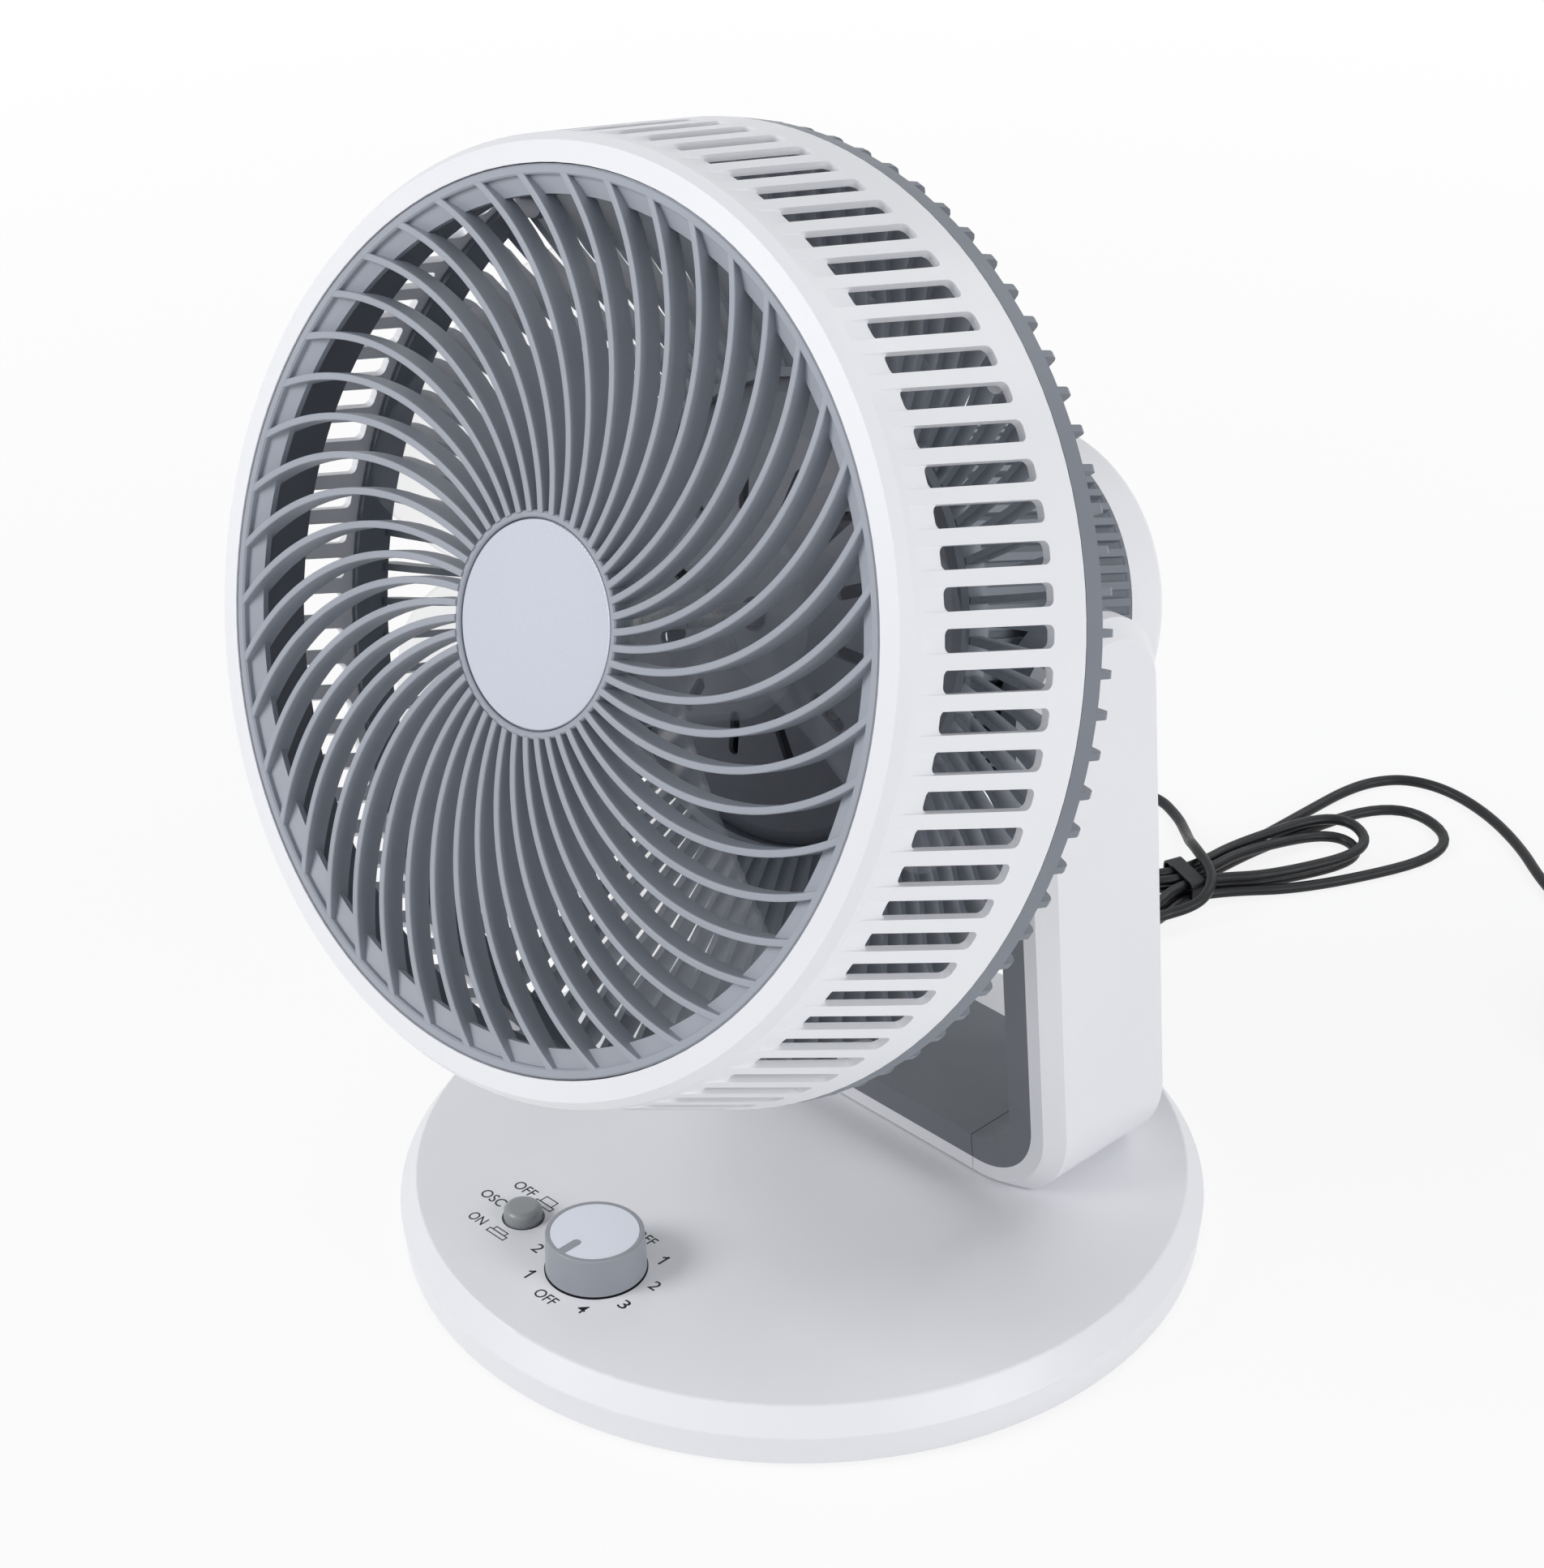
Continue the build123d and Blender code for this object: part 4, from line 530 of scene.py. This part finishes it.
def makeStrainRelief():
    # a collar on each side of the base's wall, then a tapered sleeve with rings cut into it
    c = strainReliefSizes
    length, flange, root, tip = c["length"], c["flangeRadius"], c["rootRadius"], c["tipRadius"]
    edge, wideEdge = c["edge"], c["wideEdge"]
    inside = -c["wallThickness"] - c["wallGap"]
    innerEnd = inside - c["flangeThickness"]
    start = c["flangeThickness"] + edge
    corners = [
        (0, innerEnd), (flange - edge, innerEnd), (flange, innerEnd + edge), (flange, inside),
        (root, inside), (root, edge), (flange, edge),
        (flange, start - wideEdge), (flange - wideEdge, start), (root, start),
    ]
    pitch = (length - start - c["plainEnds"]) / c["ribs"]
    for rib in range(c["ribs"]):
        for share, cut in c["groove"]:
            height = start + c["ribStart"] + rib * pitch + share * pitch
            taper = (height - start) / (length - start)
            corners.append((root + (tip - root) * taper - cut * c["ribDepth"], height))
    corners += [(tip, length - wideEdge), (tip - edge, length), (0, length)]
    bearing = radians(c["bearing"])
    x, y, z = leadPoints[0]
    foot = Vector((x - length * cos(bearing), y - length * sin(bearing), z)) * mm
    turn = Matrix.Rotation(bearing, 4, "Z") @ Matrix.Rotation(radians(90), 4, "Y")
    shape = turnedShape(corners, c["steps"])
    mesh = meshFrom(shape, "strainRelief", Matrix.Translation(foot) @ turn)
    piece = finish(mesh, "strainRelief", "base", blackRubber)
    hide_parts("cord_gland")
    return piece


strainRelief = makeStrainRelief()
print("air circulator: cord laid")


# Printing on the base: words round the dial and beside the button, and the button's two signs

printing = {
    "top": 23.7, "thickness": 0.05, "letterHeight": 4.7, "digitHeight": 5.0,
    "bolder": 0.005, "depth": 0.5, "curveSteps": 6,
    "dialCentre": (-5.0, -100.0), "ringRadius": 24.4,
    "ring": [("2", 18), ("3", -18), ("4", -54), ("2", -162), ("3", 162), ("4", 126)],
    "ringWords": [("OFF", 90), ("OFF", -90)],
    "ones": [54, -126],
    "oneStrokes": [((0.5, -2.4), (0.5, 2.4)), ((0.5, 2.2), (-0.8, 1.2))],
    "digitWidth": 3.4, "ringWordWidth": 10.0, "stroke": 0.85,
    "words": [
        ("OFF", (-58.2, -87.0), 10.1), ("OSC", (-62.6, -99.0), 11.4), ("ON", (-57.4, -111.2), 7.7),
    ],
    "signStroke": 0.46,
    "signs": [
        (-50.6, -90.0, -41.5, -88.0), (-49.0, -88.0, -43.0, -84.5),
        (-50.0, -113.6, -41.0, -111.5), (-48.6, -111.5, -42.5, -109.6),
    ],
}


def printPlace(x, y):
    # the middle of a printed layer that lies on the base's top
    return Vector((x, y, printing["top"] + printing["thickness"] / 2)) * mm


def printedWord(text, name, centre, width, height):
    # a word as a thin printed layer, fitted to its width and height
    curve = bpy.data.curves.new(name, "FONT")
    curve.body = text
    curve.extrude = printing["depth"]
    curve.offset = printing["bolder"]
    curve.resolution_u = printing["curveSteps"]
    word = bpy.data.objects.new(name, curve)
    bpy.context.scene.collection.objects.link(word)
    bpy.context.view_layer.update()
    shaped = word.evaluated_get(bpy.context.evaluated_depsgraph_get())
    mesh = bpy.data.meshes.new_from_object(shaped)
    bpy.data.objects.remove(word)
    mesh.name = name
    low = [min(vertex.co[axis] for vertex in mesh.vertices) for axis in range(3)]
    high = [max(vertex.co[axis] for vertex in mesh.vertices) for axis in range(3)]
    toMiddle = Matrix.Translation([-(a + b) / 2 for a, b in zip(low, high)])
    wide, tall = width * mm / (high[0] - low[0]), height * mm / (high[1] - low[1])
    size = Matrix.Diagonal((wide, tall, printing["thickness"] * mm, 1))
    mesh.transform(Matrix.Translation(printPlace(*centre)) @ size @ toMiddle)
    finish(mesh, name, "base", inkAndGapShade, smooth=False)


def printedStrokes(name, centre, strokes, width):
    # straight printed strokes between pairs of points
    bm = bmesh.new()
    for start, end in strokes:
        run = Vector(end) - Vector(start)
        middle = (Vector(end) + Vector(start)) / 2 + Vector(centre)
        place = Matrix.Translation(printPlace(*middle))
        turn = Matrix.Rotation(atan2(run.y, run.x), 4, "Z")
        size = Vector((run.length + width, width, printing["thickness"])) * mm
        bmesh.ops.create_cube(bm, size=1, matrix=place @ turn @ Matrix.Diagonal((*size, 1)))
    finish(meshFrom(bm, name), name, "base", inkAndGapShade, smooth=False)


def makePrinting():
    p = printing
    x, y = p["dialCentre"]
    reach = p["ringRadius"]

    def ringPlace(angle):
        return x + reach * cos(radians(angle)), y + reach * sin(radians(angle))

    for index, (text, angle) in enumerate(p["ring"]):
        printedWord(text, f"dialDigit{index}", ringPlace(angle), p["digitWidth"], p["digitHeight"])
    for index, (text, angle) in enumerate(p["ringWords"]):
        printedWord(text, f"dialWord{index}", ringPlace(angle), p["ringWordWidth"], p["letterHeight"])
    for index, angle in enumerate(p["ones"]):
        printedStrokes(f"dialOne{index}", ringPlace(angle), p["oneStrokes"], p["stroke"])
    for index, (text, centre, width) in enumerate(p["words"]):
        printedWord(text, f"buttonWord{index}", centre, width, p["letterHeight"])
    for index, (left, front, right, back) in enumerate(p["signs"]):
        corners = [(left, front), (right, front), (right, back), (left, back), (left, front)]
        strokes = list(zip(corners, corners[1:]))
        printedStrokes(f"buttonSign{index}", (0, 0), strokes, p["signStroke"])


makePrinting()
print("air circulator: marks printed")


# Painted shade: thin dark rings round the feet of the dial and the button, for the shadow down in the
# gaps there

gapShadeRings = {
    "thickness": 0.04,
    "steps": 72,
    "rings": [
        {"name": "dialGapShade", "centre": (-5.0, -100.0), "inner": 17.4, "outer": 18.95},
        {"name": "buttonGapShade", "centre": (-46.0, -99.0), "inner": 7.55, "outer": 7.95},
    ],
}


def makeGapShadeRing(look):
    # a flat near-black ring laid on the base's top: painted shade for the gap round a foot
    name, inner, outer = look["name"], look["inner"], look["outer"]
    foot = printing["top"]
    top = foot + gapShadeRings["thickness"]
    shape = turnedShape(
        [(inner, foot), (inner, top), (outer, top), (outer, foot)], gapShadeRings["steps"], ring=True
    )
    mesh = meshFrom(shape, name, Matrix.Translation(Vector((*look["centre"], 0)) * mm))
    finish(mesh, name, "base", inkAndGapShade, smooth=False)


for look in gapShadeRings["rings"]:
    makeGapShadeRing(look)
print("air circulator: gaps shaded")


# Studio: pale floor, white surroundings for the camera and for reflections, soft lamps

studio = {
    "floorSize": 12,
    "floorColour": (0.92, 0.92, 0.92),
    "floorRoughness": 0.9,
    "floorSpecular": 0.1,
    "floorShare": 0.14,
    "floorFade": (0.35, 1.3),
    "worldColour": (0.80, 0.82, 0.86),
    "worldStrength": 0.42,
    "key": {"place": (-1.1, -2.2, 1.7), "size": 1.5, "power": 42.0},
    "fill": {"place": (2.4, 0.2, 1.1), "size": 1.6, "power": 24.0},
    "back": {"place": (0.3, 1.9, 1.9), "size": 1.4, "power": 10.0},
    "aim": (0.0, 0.0, 0.2),
}


def whiteRays(tree):
    # 1 for camera, mirror-like and see-through rays
    path = tree.nodes.new("ShaderNodeLightPath")
    most = path.outputs["Is Camera Ray"]
    for name in ("Is Glossy Ray", "Is Transmission Ray"):
        larger = tree.nodes.new("ShaderNodeMath")
        larger.operation = "MAXIMUM"
        tree.links.new(most, larger.inputs[0])
        tree.links.new(path.outputs[name], larger.inputs[1])
        most = larger.outputs[0]
    return most


def makeFloor():
    bm = bmesh.new()
    bmesh.ops.create_grid(bm, x_segments=2, y_segments=2, size=studio["floorSize"])
    floor = bpy.data.objects.new("studioFloor", bpy.data.meshes.new("studioFloor"))
    bm.to_mesh(floor.data)
    bm.free()
    bpy.context.scene.collection.objects.link(floor)
    material, tree, shader = newMaterial("paleFloor")
    shader.inputs["Base Color"].default_value = (*studio["floorColour"], 1)
    shader.inputs["Roughness"].default_value = studio["floorRoughness"]
    shader.inputs["Specular IOR Level"].default_value = studio["floorSpecular"]
    # the floor's own shade shows near the fan and fades out with distance from it
    where = tree.nodes.new("ShaderNodeTexCoord")
    distance = tree.nodes.new("ShaderNodeVectorMath")
    distance.operation = "LENGTH"
    tree.links.new(where.outputs["Object"], distance.inputs[0])
    fade = tree.nodes.new("ShaderNodeMapRange")
    near, far = studio["floorFade"]
    fade.inputs["From Min"].default_value = near
    fade.inputs["From Max"].default_value = far
    fade.inputs["To Min"].default_value = 1 - studio["floorShare"]
    tree.links.new(distance.outputs["Value"], fade.inputs["Value"])
    share = tree.nodes.new("ShaderNodeMath")
    share.operation = "MULTIPLY"
    tree.links.new(fade.outputs["Result"], share.inputs[1])
    tree.links.new(whiteRays(tree), share.inputs[0])
    white = tree.nodes.new("ShaderNodeEmission")
    mix = tree.nodes.new("ShaderNodeMixShader")
    tree.links.new(share.outputs[0], mix.inputs[0])
    tree.links.new(shader.outputs[0], mix.inputs[1])
    tree.links.new(white.outputs[0], mix.inputs[2])
    tree.links.new(mix.outputs[0], tree.nodes["Material Output"].inputs["Surface"])
    floor.data.materials.append(material)


def makeWorld():
    world = bpy.data.worlds.new("studioWorld")
    bpy.context.scene.world = world
    world.use_nodes = True
    tree = world.node_tree
    soft = tree.nodes["Background"]
    soft.inputs["Color"].default_value = (*studio["worldColour"], 1)
    soft.inputs["Strength"].default_value = studio["worldStrength"]
    white = tree.nodes.new("ShaderNodeBackground")
    white.inputs["Color"].default_value = (1, 1, 1, 1)
    mix = tree.nodes.new("ShaderNodeMixShader")
    tree.links.new(whiteRays(tree), mix.inputs[0])
    tree.links.new(soft.outputs[0], mix.inputs[1])
    tree.links.new(white.outputs[0], mix.inputs[2])
    tree.links.new(mix.outputs[0], tree.nodes["World Output"].inputs["Surface"])


def makeLamp(name, look):
    data = bpy.data.lights.new(name, "AREA")
    data.shape = "DISK"
    data.size = look["size"]
    data.energy = look["power"]
    lamp = bpy.data.objects.new(name, data)
    bpy.context.scene.collection.objects.link(lamp)
    lamp.location = look["place"]
    away = Vector(look["place"]) - Vector(studio["aim"])
    lamp.rotation_euler = away.to_track_quat("Z", "Y").to_euler()


makeFloor()
makeWorld()
for name in ("key", "fill", "back"):
    makeLamp(name + "Lamp", studio[name])
bpy.context.scene.view_settings.view_transform = "Standard"
print("air circulator: studio lit")
